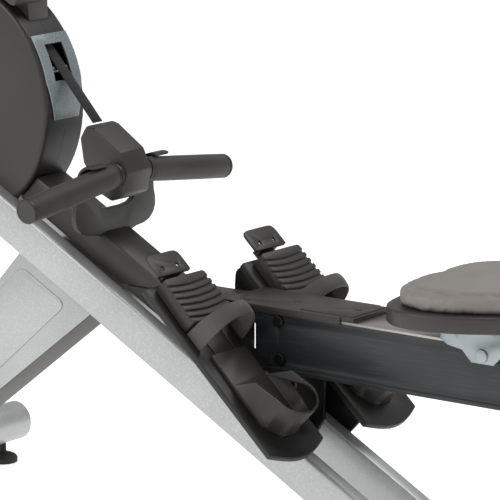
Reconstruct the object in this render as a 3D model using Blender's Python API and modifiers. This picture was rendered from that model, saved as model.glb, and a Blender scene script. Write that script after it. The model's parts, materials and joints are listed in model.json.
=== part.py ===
"""Folding rowing machine: twin-tube frame, drive housing, handle, pedals, folding rail and seat.

Every size is in metres. Pieces are laid out from one datum, the top of the seat rail above the
fold pivot's zero line: +X runs back along the rail, +Y to the user's right-hand side of the
frame, +Z up. The empty "datum" then stands the machine on the floor, centred at the origin.
"""
import math

import bmesh
import bpy
from mathutils import Matrix, Vector

# Overall layout
RAIL_HEIGHT = 0.400        # top of the rail above the floor
REAR_REACH = 1.410         # datum to the back of the rail's end cap
GAP = 0.0003               # between pieces that touch
RUN = 0.0012               # between pieces that turn or slide past each other

# Main beam: two rectangular tubes side by side
BEAM_ANGLE = math.radians(29.2)
BEAM_TOP_Z = -0.1612       # height of the beam's top face at X = 0
TUBE_W = 0.029
TUBE_H = 0.0586
TUBE_WALL = 0.002
TUBE_SPACING = 0.109       # centre to centre
BEAM_FRONT_X = -0.700      # top front corner

# Stabilisers and feet
STAB_R = 0.0315
STAB_HALF = 0.258
FRONT_STAB_X = -0.745
STAB_Z = -0.3365
FOOT_Y = 0.218
FOOT_PAD_R = 0.024
WHEEL_R = 0.028
WHEEL_W = 0.022
WHEEL_Y = 0.150
WHEEL_REACH = 0.062        # wheel axle ahead of the front stabiliser's axis

# Front leg
LEG_W = 0.0790
LEG_TOP_FRONT_X = -0.4735  # where its front and rear faces meet the beam's underside
LEG_TOP_REAR_X = -0.3312
LEG_FOOT_REAR = (0.030, -0.008)    # ends of those faces, from the stabiliser's axis
LEG_FOOT_FRONT = (-0.015, 0.0525)

# Seat rail, its fold pivot and stop bolt
RAIL_W = 0.0924
RAIL_H = 0.0900
RAIL_WALL = 0.003
RAIL_LIP = 0.003
RAIL_LIP_H = 0.006
RAIL_FRONT_X = -0.030
TRACK_T = 0.002
TRACK_EDGE = 0.0045
END_CAP = 0.010
PIVOT = (0.012, -0.015)
STOP = (0.015, -0.071)
BOLT_R = 0.0050
BOLT_HEAD_R = 0.0090
BOLT_HEAD_T = 0.0045
STOP_SLOT_END = 345         # where the cheeks' open slot for the stop bolt has left them, in degrees
CHEEK_T = 0.005
CHEEK_Y = RAIL_W / 2 - 0.0122   # inner face of each cheek
CHEEK_EYE_R = 0.0088
COVER_FRONT_X = -0.088
COVER_REAR_X = 0.145
COVER_LIP = 0.011

# Rear support of the rail
REAR_LEG_X = 1.290
REAR_LEG_W = 0.060
REAR_LEG_D = 0.038
REAR_STAB_R = 0.025
REAR_STAB_HALF = 0.200

# Fairings on the beam
GUSSET_TOP_Z = 0.0
GUSSET_REAR_X = -0.0945
BEAM_COVER_RISE = 0.0440
BEAM_COVER_LIFT = 0.001
BEAM_COVER_HALF = 0.0380
BEAM_COVER_RIDGE = 0.0335

# Drive housing
HOUSING = (-0.610, 0.2477)
HOUSING_R = 0.188
HOUSING_HALF = 0.046
HOUSING_TUB_HALF = 0.0388
HOUSING_WALL = 0.003
SLOT_ANGLES = (13.0, 30.6)
SLOT_HALF = 0.0215
TRIM_ANGLES = (-4.5, 35.5)
TRIM_HALF = 0.040
TRIM_FOOT_HALF = 0.026
TRIM_T = 0.0025
FLYWHEEL = (-0.650, 0.225)
FLYWHEEL_R = 0.122
FLYWHEEL_T = 0.024
AXLE_R = 0.0075
BEARING_R = 0.0160
BEARING_T = 0.009
PULLEY_Y = 0.024           # middle of the belt's plane
PULLEY_T = 0.012
SMALL_PULLEY_R = 0.018
LARGE_PULLEY_R = 0.037
BELT_T = 0.003
BELT_W = 0.010
DRUM_R = 0.034
DRUM_W = 0.028
DRUM_SETBACK = 0.117       # along the strap, from the slot to the drum's tangent point
YOKE_ANGLE = 135.0
YOKE_GAP = 0.003

# Drive strap and handle
STRAP_W = 0.022
STRAP_T = 0.0016
SLOT_POINT_ANGLE = math.radians(13.6)   # where the strap leaves the housing
SLOT_POINT_LIFT = 0.0111
STRAP_SLOT = (HOUSING[0] + (HOUSING_R + SLOT_POINT_LIFT) * math.cos(SLOT_POINT_ANGLE),
              HOUSING[1] + (HOUSING_R + SLOT_POINT_LIFT) * math.sin(SLOT_POINT_ANGLE))
STRAP_END = (-0.3600, 0.2321)
HANDLE = (-0.303, 0.163)
HANDLE_BODY_HALF = 0.028
GRIP_R = 0.019
GRIP_END_Y = 0.235
GRIP_DROOP = 0.125         # fall per unit of length
DOCK_X = -0.3300           # middle of the fork plate
DOCK_T = 0.008
DOCK_ARM_Y = 0.073
DOCK_ARM_W = 0.036

# Console
CONSOLE = (-0.470, 0.560)
CONSOLE_W = 0.250
CONSOLE_H = 0.170
CONSOLE_T = 0.036
CONSOLE_TILT = math.radians(22.0)
CONSOLE_RISE = 0.021       # case's lower edge above its tilt hinge
CONSOLE_EYE_R = 0.013      # round its tilt hinge
CONSOLE_PIN_R = 0.004
CONSOLE_ARM_HALF = 0.022
CONSOLE_ARM_ANGLES = (42.0, 58.0)   # where the arm meets the housing's rim
SHROUD_HALF = 0.060
SHROUD = ((-0.470, 0.4015), (-0.461, 0.430), (-0.470, 0.480), (-0.500, 0.512), (-0.545, 0.505),
          (-0.566, 0.470), (-0.560, 0.447), (-0.520, 0.430))
BUTTON_R = 0.009

# Pedals
PEDAL_ANGLE = math.radians(43.1)
PEDAL_TOP = (-0.1276, 0.0374)   # upper end of the base plate's top face
PEDAL_Y = 0.1169
PEDAL_W = 0.1292
PEDAL_L = 0.309
PEDAL_BULGE = 0.018
PEDAL_T = 0.010
SLIDER_W = 0.046
SLIDER_T = 0.004
TOE_S = (0.006, 0.086)
TOE_HALF = 0.051
TOE_H = 0.024
TOE_RIBS = 6
FOOT_STRAP_S = (0.089, 0.121)
FOOT_STRAP_HALF = 0.0505
FOOT_STRAP_RISE = 0.072
FOOT_STRAP_T = 0.003
TAB_TOP_S = -0.043
TAB_HALF = 0.037
TAB_Z = (0.010, 0.014)
SOLE_S = (0.135, 0.288)
SOLE_HALF = 0.042
SOLE_T = 0.006
CUP_S = 0.249              # middle of the heel cup's round end
CUP_R = 0.041
CUP_T = 0.003
CUP_FALL = 0.20            # fall of its rim towards the outer side, per unit of width
CUP_WINDOW = ((0.222, 0.030), (0.240, 0.047), (0.262, 0.055), (0.286, 0.056), (0.284, 0.036),
              (0.262, 0.029))
BRACKET_T = 0.005

# Seat
SEAT_X = 0.370
SEAT_HALF_W = 0.149
SEAT_HALF_L = 0.140
# half of the seat's plan, as shares of those two: wide at the front, narrowing to the rear
SEAT_PLAN = ((-1.0, 0.20), (-0.986, 0.503), (-0.886, 0.779), (-0.686, 0.946), (-0.429, 1.0),
             (-0.107, 0.940), (0.143, 0.832), (0.386, 0.678), (0.679, 0.523), (0.893, 0.349), (1.0, 0.134))
SEAT_PAD_SCALE = 0.95
SEAT_RIM_Z = 0.030
SEAT_RIM_H = 0.024
SEAT_PAD_H = 0.026
CARRIAGE_HALF_L = 0.070
CARRIAGE_HALF_W = 0.0565
CARRIAGE_T = 0.003
CARRIAGE_TOP_Z = 0.0365
CARRIAGE_DROP_Z = -0.026
STUD_R = 0.0096            # nylon guide studs through the skirts
STUD_T = 0.004
STUD_Z = -0.0144
ROLLER_R = 0.0160
ROLLER_W = 0.018
ROLLER_Y = 0.030
ROLLER_SPACING = 0.090

# Derived places
BEAM_SLOPE = math.tan(BEAM_ANGLE)
BEAM_OUT = TUBE_SPACING / 2 + TUBE_W / 2
BEAM_IN = TUBE_SPACING / 2 - TUBE_W / 2
MID_STAB_X = (BEAM_TOP_Z - TUBE_H / 2 / math.cos(BEAM_ANGLE) - STAB_Z) / BEAM_SLOPE
FLOOR_Z = -RAIL_HEIGHT
FRONT_REACH = -(FRONT_STAB_X - WHEEL_REACH - WHEEL_R)
DATUM_X = (FRONT_REACH - REAR_REACH) / 2
STRAP_DIR = Vector((STRAP_END[0] - STRAP_SLOT[0], 0, STRAP_END[1] - STRAP_SLOT[1])).normalized()
STRAP_UP = Vector((-STRAP_DIR.z, 0, STRAP_DIR.x))
DRUM_TOUCH = Vector((STRAP_SLOT[0], 0, STRAP_SLOT[1])) - DRUM_SETBACK * STRAP_DIR
DRUM = DRUM_TOUCH - (DRUM_R + STRAP_T / 2 + GAP) * STRAP_UP
SIDES = (("left", -1), ("right", 1))


# ---------------------------------------------------------------- scene and materials
for old in list(bpy.data.objects):
    bpy.data.objects.remove(old, do_unlink=True)

PARTS = bpy.data.collections.new("rowing_machine")
CUTTERS = bpy.data.collections.new("cutters")
for collection in (PARTS, CUTTERS):
    bpy.context.scene.collection.children.link(collection)
CUTTERS.hide_render = True


def finish(name, colour, roughness, metallic=0.0):
    """A plain material of one linear colour."""
    material = bpy.data.materials.new(name)
    material.use_nodes = True
    shader = material.node_tree.nodes["Principled BSDF"]
    shader.inputs["Base Color"].default_value = (*colour, 1.0)
    shader.inputs["Roughness"].default_value = roughness
    shader.inputs["Metallic"].default_value = metallic
    return material


SILVER = finish("silver_paint", (0.58, 0.58, 0.58), 0.35, 0.3)
GREY_PAINT = finish("grey_paint", (0.22, 0.22, 0.22), 0.45, 0.2)
PLASTIC = finish("dark_plastic", (0.050, 0.045, 0.040), 0.45)
TRIM = finish("trim_plastic", (0.22, 0.25, 0.27), 0.35, 0.2)
FOAM = finish("grip_foam", (0.055, 0.050, 0.047), 0.75)
RUBBER = finish("rubber", (0.025, 0.025, 0.024), 0.8)
ANODISED = finish("dark_anodised", (0.075, 0.080, 0.083), 0.35, 0.8)
STAINLESS = finish("stainless_track", (0.62, 0.60, 0.57), 0.25, 1.0)
DARK_STEEL = finish("dark_steel", (0.030, 0.030, 0.030), 0.4, 0.7)
STEEL = finish("bright_steel", (0.55, 0.55, 0.56), 0.3, 1.0)
ALUMINIUM = finish("carriage_aluminium", (0.42, 0.45, 0.47), 0.35, 0.9)
PAD = finish("seat_foam", (0.34, 0.32, 0.30), 0.7)
WEBBING = finish("webbing", (0.010, 0.010, 0.010), 0.8)
STRAP_RUBBER = finish("strap_rubber", (0.120, 0.105, 0.095), 0.6)
SCREEN = finish("screen_glass", (0.020, 0.022, 0.025), 0.1)


# ---------------------------------------------------------------- bodies
def empty(name, place, parent):
    """An empty that stands on a joint's axis, or at the datum."""
    made = bpy.data.objects.new(name, None)
    PARTS.objects.link(made)
    made.parent = parent
    made.location = place
    return made


DATUM = empty("datum", (DATUM_X, 0, RAIL_HEIGHT), None)
ORIGINS = {}


def body(name, x=0.0, y=0.0, z=0.0, parent=None):
    """A moving body's empty, at a point of its joint's axis in datum coordinates."""
    base = ORIGINS[parent] if parent else (DATUM, Vector((0, 0, 0)))
    here = Vector((x, y, z))
    ORIGINS[name] = (empty("body_" + name, here - base[1], base[0]), here)


def link(obj, material, group="frame"):
    """Names an object a piece of the machine: its material, its collection and its body."""
    obj.data.materials.clear()
    obj.data.materials.append(material)
    for holder in list(obj.users_collection):
        holder.objects.unlink(obj)
    PARTS.objects.link(obj)
    parent, place = ORIGINS[group]
    obj.parent = parent
    obj.matrix_parent_inverse = Matrix.Translation(-place)
    if obj.type == "MESH":
        obj.data.shade_smooth()
        obj.data.set_sharp_from_angle(angle=math.radians(35))
    return obj


# ---------------------------------------------------------------- shapes
def mesh_object(name, mesh_maker):
    """A new object whose bmesh the given function fills."""
    shape = bmesh.new()
    mesh_maker(shape)
    mesh = bpy.data.meshes.new(name)
    shape.to_mesh(mesh)
    shape.free()
    obj = bpy.data.objects.new(name, mesh)
    CUTTERS.objects.link(obj)
    return obj


def box(name, low, high, bevel=0.0, segments=2):
    """A block between two corners, with rounded edges."""
    low, high = Vector(low), Vector(high)

    def fill(shape):
        bmesh.ops.create_cube(shape, size=1.0)
        bmesh.ops.scale(shape, vec=high - low, verts=shape.verts)
        bmesh.ops.translate(shape, vec=(low + high) / 2, verts=shape.verts)

    return rounded_edges(mesh_object(name, fill), bevel, segments)


def rounded_edges(obj, width, segments=2):
    """Adds a Bevel to an object's sharp edges."""
    if width:
        bevel = obj.modifiers.new("edges", "BEVEL")
        bevel.width = width
        bevel.segments = segments
        bevel.limit_method = "ANGLE"
        bevel.angle_limit = math.radians(40)
    return obj


def rod(name, start, end, radius, sides=24, end_radius=None, bevel=0.0):
    """A round bar or cone between two points."""
    start, end = Vector(start), Vector(end)
    along = end - start

    def fill(shape):
        bmesh.ops.create_cone(
            shape, cap_ends=True, segments=sides, radius1=radius,
            radius2=radius if end_radius is None else end_radius, depth=along.length)
        turn = along.to_track_quat("Z", "Y").to_matrix().to_4x4()
        bmesh.ops.transform(
            shape, matrix=Matrix.Translation((start + end) / 2) @ turn, verts=shape.verts)

    return rounded_edges(mesh_object(name, fill), bevel, 1)


def arc(centre, radius, first, last, steps):
    """Points of a circular arc, angles in degrees."""
    angles = [math.radians(first + (last - first) * i / steps) for i in range(steps + 1)]
    return [(centre[0] + radius * math.cos(a), centre[1] + radius * math.sin(a)) for a in angles]


def eased(corners, radii, steps=4):
    """An outline whose corners are rounded to the given radii."""
    points = []
    count = len(corners)
    for i, corner in enumerate(corners):
        here = Vector(corner)
        radius = radii[i] if isinstance(radii, (list, tuple)) else radii
        if not radius:
            points.append(tuple(here))
            continue
        back = (Vector(corners[i - 1]) - here).normalized()
        ahead = (Vector(corners[(i + 1) % count]) - here).normalized()
        half = back.angle(ahead) / 2
        reach = radius / math.tan(half)
        for step in range(steps + 1):
            t = step / steps
            start, end = here + back * reach, here + ahead * reach
            points.append(tuple(start * (1 - t) ** 2 + here * 2 * t * (1 - t) + end * t ** 2))
    return points


def to_mesh(obj):
    """Turns a curve object into a mesh object whose caps are welded."""
    graph = bpy.context.evaluated_depsgraph_get()
    graph.update()
    mesh = bpy.data.meshes.new_from_object(obj.evaluated_get(graph))
    shape = bmesh.new()
    shape.from_mesh(mesh)
    bmesh.ops.remove_doubles(shape, verts=shape.verts, dist=1e-6)
    bmesh.ops.transform(shape, matrix=obj.matrix_world, verts=shape.verts)
    bmesh.ops.recalc_face_normals(shape, faces=shape.faces)
    shape.to_mesh(mesh)
    shape.free()
    name = obj.name
    bpy.data.objects.remove(obj, do_unlink=True)
    made = bpy.data.objects.new(name, mesh)
    CUTTERS.objects.link(made)
    return made


# Each frame carries an outline's own x, y and normal to the datum's axes.
SIDE_ON = Matrix(((1, 0, 0), (0, 0, -1), (0, 1, 0))).to_4x4()
FACE_ON = Matrix(((0, 0, 1), (1, 0, 0), (0, 1, 0))).to_4x4()


def sheet(name, outlines, thickness, frame=SIDE_ON, at=(0, 0, 0), bevel=0.0):
    """A flat plate of the outline, thickness spread evenly about the plane through `at`."""
    curve = bpy.data.curves.new(name, "CURVE")
    curve.dimensions = "2D"
    curve.fill_mode = "BOTH"
    curve.extrude = thickness / 2
    for outline in outlines:
        spline = curve.splines.new("POLY")
        spline.points.add(len(outline) - 1)
        for point, (x, y) in zip(spline.points, outline):
            point.co = (x, y, 0, 1)
        spline.use_cyclic_u = True
    obj = bpy.data.objects.new(name, curve)
    obj.matrix_world = Matrix.Translation(at) @ frame
    CUTTERS.objects.link(obj)
    bpy.context.view_layer.update()
    return rounded_edges(to_mesh(obj), bevel)


def turned(name, profile, frame, steps=24):
    """A turned shape: the profile's (radius, height) runs down its outer side, top to bottom."""
    def fill(shape):
        points = [shape.verts.new((radius, 0, height)) for radius, height in profile]
        for first, second in zip(points, points[1:]):
            shape.edges.new((first, second))

    obj = mesh_object(name, fill)
    obj.matrix_world = frame
    screw = obj.modifiers.new("turn", "SCREW")
    screw.steps = screw.render_steps = steps
    screw.use_merge_vertices = True
    screw.merge_threshold = 0.0001
    return obj


def combine(obj, operation, others):
    """Cuts, joins or trims an object with others, which become cutters."""
    for other in others:
        other.hide_render = True
        other.display_type = "WIRE"
        boolean = obj.modifiers.new(operation.lower(), "BOOLEAN")
        boolean.operation = operation
        boolean.object = other
        other.parent = obj
        other.matrix_parent_inverse = obj.matrix_basis.inverted()
    return obj


def cut(obj, *others):
    """Takes the other solids out of an object."""
    return combine(obj, "DIFFERENCE", others)


def join(obj, *others):
    """Joins the other solids to an object."""
    return combine(obj, "UNION", others)


def beam_top(x):
    """Height of the beam's top face at x."""
    return BEAM_TOP_Z - BEAM_SLOPE * x


def on_beam(x, above):
    """The point over the beam's top face at x, this far along the face's normal."""
    return (x + above * math.sin(BEAM_ANGLE), beam_top(x) + above * math.cos(BEAM_ANGLE))


def beam_slab(name, low, high, half_width, middle_y=0.0):
    """A long block parallel to the beam, between two heights over its top face."""
    front, rear = 1.2 * BEAM_FRONT_X - 0.3, MID_STAB_X + 0.6
    outline = [on_beam(front, low), on_beam(rear, low), on_beam(rear, high), on_beam(front, high)]
    return sheet(name, [outline], 2 * half_width, at=(0, middle_y, 0))


def side_box(name, low, high, side, bevel=0.0, segments=2):
    """A block given for the right-hand side, made on the given side."""
    y_low, y_high = sorted((side * low[1], side * high[1]))
    return box(name, (low[0], y_low, low[2]), (high[0], y_high, high[2]), bevel, segments)


def y_rod(name, x, z, y_low, y_high, radius, sides=24, bevel=0.0):
    """A round bar across the machine."""
    return rod(name, (x, y_low, z), (x, y_high, z), radius, sides, bevel=bevel)


# ---------------------------------------------------------------- frame
def make_beam():
    """Two rectangular tubes, coped onto the rear stabiliser."""
    along = Vector((math.cos(BEAM_ANGLE), 0, -math.sin(BEAM_ANGLE)))
    start = Vector((BEAM_FRONT_X, 0, beam_top(BEAM_FRONT_X)))
    end_x = MID_STAB_X
    length = (end_x - BEAM_FRONT_X) / math.cos(BEAM_ANGLE) - TUBE_H / 2 * BEAM_SLOPE
    frame = Matrix(((0, math.sin(BEAM_ANGLE), along.x), (1, 0, 0),
                    (0, math.cos(BEAM_ANGLE), along.z))).to_4x4()
    for label, side in SIDES:
        outer = eased([(-TUBE_W / 2, -TUBE_H), (TUBE_W / 2, -TUBE_H), (TUBE_W / 2, 0),
                       (-TUBE_W / 2, 0)], 0.006, 3)
        inner = eased([(-TUBE_W / 2 + TUBE_WALL, -TUBE_H + TUBE_WALL),
                       (TUBE_W / 2 - TUBE_WALL, -TUBE_H + TUBE_WALL),
                       (TUBE_W / 2 - TUBE_WALL, -TUBE_WALL),
                       (-TUBE_W / 2 + TUBE_WALL, -TUBE_WALL)], 0.004, 3)
        middle = start + along * length / 2
        middle.y = side * TUBE_SPACING / 2
        tube_piece = sheet("beam_tube_" + label, [outer, inner], length, frame, middle)
        cut(tube_piece, y_rod("cope_" + label, MID_STAB_X, STAB_Z, -STAB_HALF, STAB_HALF,
                              STAB_R + GAP))
        link(tube_piece, SILVER)


def leg_outline():
    """The front leg's side outline: beam's underside to the front stabiliser."""
    under = -TUBE_H - GAP
    top_front = (LEG_TOP_FRONT_X, beam_top(LEG_TOP_FRONT_X) + under / math.cos(BEAM_ANGLE))
    top_rear = (LEG_TOP_REAR_X, beam_top(LEG_TOP_REAR_X) + under / math.cos(BEAM_ANGLE))
    foot_rear = (FRONT_STAB_X + LEG_FOOT_REAR[0], STAB_Z + LEG_FOOT_REAR[1])
    foot_front = (FRONT_STAB_X + LEG_FOOT_FRONT[0], STAB_Z + LEG_FOOT_FRONT[1])
    return top_front, top_rear, foot_rear, foot_front


def make_front_leg():
    """The box leg from the beam's underside to the front stabiliser."""
    top_front, top_rear, foot_rear, foot_front = leg_outline()
    leg = sheet("front_leg", [[top_front, top_rear, foot_rear, foot_front]], LEG_W)
    rounded_edges(leg, 0.004)
    cut(leg, y_rod("leg_cope", FRONT_STAB_X, STAB_Z, -STAB_HALF, STAB_HALF, STAB_R + GAP))
    link(leg, SILVER)


def stabiliser(name, x, z, radius, half):
    """A closed round cross tube."""
    return y_rod(name, x, z, -half, half, radius, 28, bevel=0.005)


def make_foot(name, x, y, tube_z, tube_r, group):
    """A levelling foot: rubber pad and threaded stem, screwed up against the tube."""
    top = tube_z - tube_r - GAP
    pad_top = FLOOR_Z + 0.012
    profile = [(0.0, top), (0.0055, top), (0.0055, pad_top + 0.004), (0.014, pad_top + 0.003),
               (FOOT_PAD_R - 0.003, pad_top), (FOOT_PAD_R, pad_top - 0.004),
               (FOOT_PAD_R, FLOOR_Z + 0.001), (FOOT_PAD_R - 0.001, FLOOR_Z), (0.0, FLOOR_Z)]
    foot = turned(name, profile, Matrix.Translation((x, y, 0)), 16)
    link(foot, RUBBER, group)


def make_front_stabiliser():
    """The front cross tube with its welded wheel arms, and the two transport wheels."""
    tube_piece = stabiliser("front_stabiliser", FRONT_STAB_X, STAB_Z, STAB_R, STAB_HALF)
    axle_x = FRONT_STAB_X - WHEEL_REACH
    axle_z = STAB_Z - 0.012
    for label, side in SIDES:
        arm_y = WHEEL_Y - WHEEL_W / 2 - 0.006
        arm = sheet("wheel_arm_" + label, [[
            (FRONT_STAB_X - STAB_R * 0.5, STAB_Z + 0.022), (FRONT_STAB_X - 0.012, STAB_Z - 0.026),
            (axle_x - 0.006, axle_z - 0.010), (axle_x - 0.010, axle_z + 0.008)]],
            0.006, at=(0, side * arm_y, 0))
        outer = side * (WHEEL_Y + WHEEL_W / 2 + 0.004)
        join(tube_piece, arm,
             y_rod("wheel_axle_" + label, axle_x, axle_z, *sorted((side * arm_y, outer)), 0.004, 16))
        body("transport_wheel_" + label, axle_x, side * WHEEL_Y, axle_z)
        half = WHEEL_W / 2
        profile = [(0.0045, half), (0.012, half), (0.014, half - 0.003), (WHEEL_R - 0.003, half - 0.001),
                   (WHEEL_R, half - 0.005), (WHEEL_R, -half + 0.005), (WHEEL_R - 0.003, -half + 0.001),
                   (0.014, -half + 0.003), (0.012, -half), (0.0045, -half), (0.0045, half)]
        frame = Matrix.Translation((axle_x, side * WHEEL_Y, axle_z)) @ Matrix.Rotation(
            math.radians(90), 4, "X")
        link(turned("transport_wheel_" + label, profile, frame, 20), RUBBER,
             "transport_wheel_" + label)
    link(tube_piece, SILVER)


# ---------------------------------------------------------------- rail and its hinge
def make_rail_bracket():
    """Two cheeks between the beam's tubes, with the fold pivot through them and an open slot for the stop bolt."""
    px, pz = PIVOT
    low = on_beam(px - 0.075, -0.052)
    back = on_beam(px + 0.016, -0.052)
    outline = arc(PIVOT, CHEEK_EYE_R, 90, 180, 5)
    outline += [(px - CHEEK_EYE_R, pz - 0.047), (px - 0.0240, pz - 0.104),
                (px - 0.040, pz - 0.110), on_beam(px - 0.075, -0.008), low, back,
                on_beam(px + 0.020, 0.006), (px + 0.024, pz - 0.060), (px + 0.030, pz + CHEEK_EYE_R)]
    cheeks = None
    for label, side in SIDES:
        cheek = sheet("cheek_" + label, [outline], CHEEK_T, at=(0, side * (CHEEK_Y + CHEEK_T / 2), 0))
        if cheeks is None:
            cheeks = cheek
        else:
            join(cheeks, cheek)
    cheeks.name = "rail_bracket"
    middle = on_beam(px - 0.005, -0.030)
    join(cheeks, y_rod("cheek_spacer", *middle, -CHEEK_Y - 0.002, CHEEK_Y + 0.002, 0.016, 24))
    cut(cheeks, y_rod("cheek_hole", *PIVOT, -0.1, 0.1, BOLT_R + GAP, 16))
    reach = math.dist(STOP, PIVOT)
    first = math.degrees(math.atan2(STOP[1] - PIVOT[1], STOP[0] - PIVOT[0])) + 360
    slot = BOLT_R + RUN
    cut(cheeks, sheet("stop_slot", [
        arc(PIVOT, reach + slot, STOP_SLOT_END, first, 12)
        + arc(STOP, slot, first, first - 180, 6)
        + arc(PIVOT, reach - slot, first, STOP_SLOT_END, 12)], 0.3))
    link(cheeks, DARK_STEEL)
    face = RAIL_W / 2 + GAP
    for name, spot, group in (("pivot_bolt", PIVOT, "frame"), ("stop_bolt", STOP, "rail")):
        bolt = y_rod(name, *spot, -face - BOLT_HEAD_T, face + 0.001, BOLT_R, 16)
        for end in (-1, 1):
            low_y, high_y = sorted((end * face, end * (face + BOLT_HEAD_T)))
            join(bolt, y_rod(name + "_head", *spot, low_y, high_y, BOLT_HEAD_R, 16, bevel=0.0012))
        link(bolt, DARK_STEEL, group)


def rail_section():
    """Half-closed section of the rail: an inverted channel with outward lips."""
    out, lip = RAIL_W / 2, RAIL_W / 2 + RAIL_LIP
    inn = out - RAIL_WALL
    top, foot = -TRACK_T - GAP, -RAIL_H
    return [(-lip, foot), (-inn, foot), (-inn, top - RAIL_WALL), (inn, top - RAIL_WALL),
            (inn, foot), (lip, foot), (lip, foot + RAIL_LIP_H), (out, foot + RAIL_LIP_H),
            (out, top), (-out, top), (-out, foot + RAIL_LIP_H), (-lip, foot + RAIL_LIP_H)]


def make_rail():
    """The rail, its stainless track, the cover plate over its front end and its end cap."""
    body("rail", PIVOT[0], 0, PIVOT[1])
    rear = REAR_REACH - END_CAP - GAP
    length = rear - RAIL_FRONT_X
    middle = (RAIL_FRONT_X + rear) / 2
    rail = sheet("seat_rail", [rail_section()], length, FACE_ON, (middle, 0, 0))
    cut(rail, y_rod("rail_pivot_hole", *PIVOT, -0.1, 0.1, BOLT_R + GAP, 16))
    cut(rail, y_rod("rail_stop_hole", *STOP, -0.1, 0.1, BOLT_R + GAP, 16))
    link(rail, ANODISED, "rail")

    out = RAIL_W / 2 + GAP
    edge = out + TRACK_T
    section = [(-edge, 0), (-edge, -TRACK_EDGE), (-out, -TRACK_EDGE), (-out, -TRACK_T),
               (out, -TRACK_T), (out, -TRACK_EDGE), (edge, -TRACK_EDGE), (edge, 0)]
    track = sheet("rail_track", [section], rear - RAIL_FRONT_X - 0.001, FACE_ON, (middle, 0, 0))
    link(track, STAINLESS, "rail")

    half = edge + GAP
    wall = 0.0025
    top = 0.006
    cover_section = [(-half - wall, top), (-half - wall, top - COVER_LIP), (-half, top - COVER_LIP),
                     (-half, GAP), (half, GAP), (half, top - COVER_LIP),
                     (half + wall, top - COVER_LIP), (half + wall, top)]
    cover = sheet("rail_cover_plate", [cover_section], COVER_REAR_X - COVER_FRONT_X, FACE_ON,
                  ((COVER_REAR_X + COVER_FRONT_X) / 2, 0, 0))
    inner = half - 0.001
    for label, side in SIDES:
        cut(cover,
            side_box("cover_rear_relief_" + label, (COVER_REAR_X - 0.022, inner, -0.05),
                     (COVER_REAR_X + 0.01, 0.1, 0.05), side),
            side_box("cover_front_relief_" + label, (COVER_FRONT_X - 0.01, inner, -0.05),
                     (RAIL_FRONT_X, 0.1, 0.001), side))
    link(cover, PLASTIC, "rail")

    cap_half = RAIL_W / 2 + RAIL_LIP
    cap = box("rail_end_cap", (rear + GAP, -cap_half, -RAIL_H), (REAR_REACH, cap_half, 0), 0.004)
    plug_half = RAIL_W / 2 - RAIL_WALL - GAP
    join(cap, box("cap_plug", (rear - 0.012, -plug_half, -RAIL_H + 0.004),
                  (rear + 0.004, plug_half, -TRACK_T - RAIL_WALL - 2 * GAP)))
    link(cap, PLASTIC, "rail")


def make_rear_support():
    """Leg, cross tube and feet that carry the back of the rail and fold up with it."""
    under = -RAIL_H - GAP
    tube_z = FLOOR_Z + 0.030 + REAR_STAB_R
    half = RAIL_W / 2 - RAIL_WALL - GAP
    leg = box("rear_leg", (REAR_LEG_X - REAR_LEG_D / 2, -REAR_LEG_W / 2, tube_z),
              (REAR_LEG_X + REAR_LEG_D / 2, REAR_LEG_W / 2, under - 0.006), 0.004)
    join(leg, box("leg_plate", (REAR_LEG_X - 0.045, -half, under - 0.008),
                  (REAR_LEG_X + 0.045, half, under), 0.002),
         stabiliser("rear_cross_tube", REAR_LEG_X, tube_z, REAR_STAB_R, REAR_STAB_HALF))
    link(leg, SILVER, "rail")
    for label, side in SIDES:
        make_foot("foot_rear_" + label, REAR_LEG_X, side * (REAR_STAB_HALF - 0.035), tube_z,
                  REAR_STAB_R, "rail")


# ---------------------------------------------------------------- fairings
def make_fairings():
    """The wedge that fills the beam up to the rail's height, and the ridge cover ahead of it."""
    front = (BEAM_TOP_Z - GUSSET_TOP_Z) / BEAM_SLOPE
    start_x = front + 0.012
    wedge = [(start_x, GUSSET_TOP_Z), (GUSSET_REAR_X, GUSSET_TOP_Z),
             (GUSSET_REAR_X, beam_top(GUSSET_REAR_X) + 0.001), (start_x, beam_top(start_x) + 0.001)]
    link(sheet("gusset_fairing", [wedge], 2 * BEAM_IN), GREY_PAINT)

    profile = [(-BEAM_COVER_HALF, 0), (BEAM_COVER_HALF, 0), (BEAM_COVER_RIDGE, BEAM_COVER_RISE),
               (-BEAM_COVER_RIDGE, BEAM_COVER_RISE)]
    along = Vector((math.cos(BEAM_ANGLE), 0, -math.sin(BEAM_ANGLE)))
    up = Vector((math.sin(BEAM_ANGLE), 0, math.cos(BEAM_ANGLE)))
    frame = Matrix(((0, up.x, along.x), (1, 0, 0), (0, up.z, along.z))).to_4x4()
    length = 0.60
    centre = Vector((-0.36, 0, beam_top(-0.36))) + up * BEAM_COVER_LIFT
    cover = sheet("beam_cover", [profile], length, frame, centre, 0.003)
    cut(cover, y_rod("cover_housing_cut", *HOUSING, -0.1, 0.1, HOUSING_R + 0.0015, 96),
        box("cover_gusset_cut", (front - 0.3, -0.1, -0.4), (0.4, 0.1, GUSSET_TOP_Z + GAP)),
        box("cover_front_cut", (-1.2, -0.1, -0.4), (HOUSING[0], 0.1, 1.0)))
    link(cover, PLASTIC)


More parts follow.
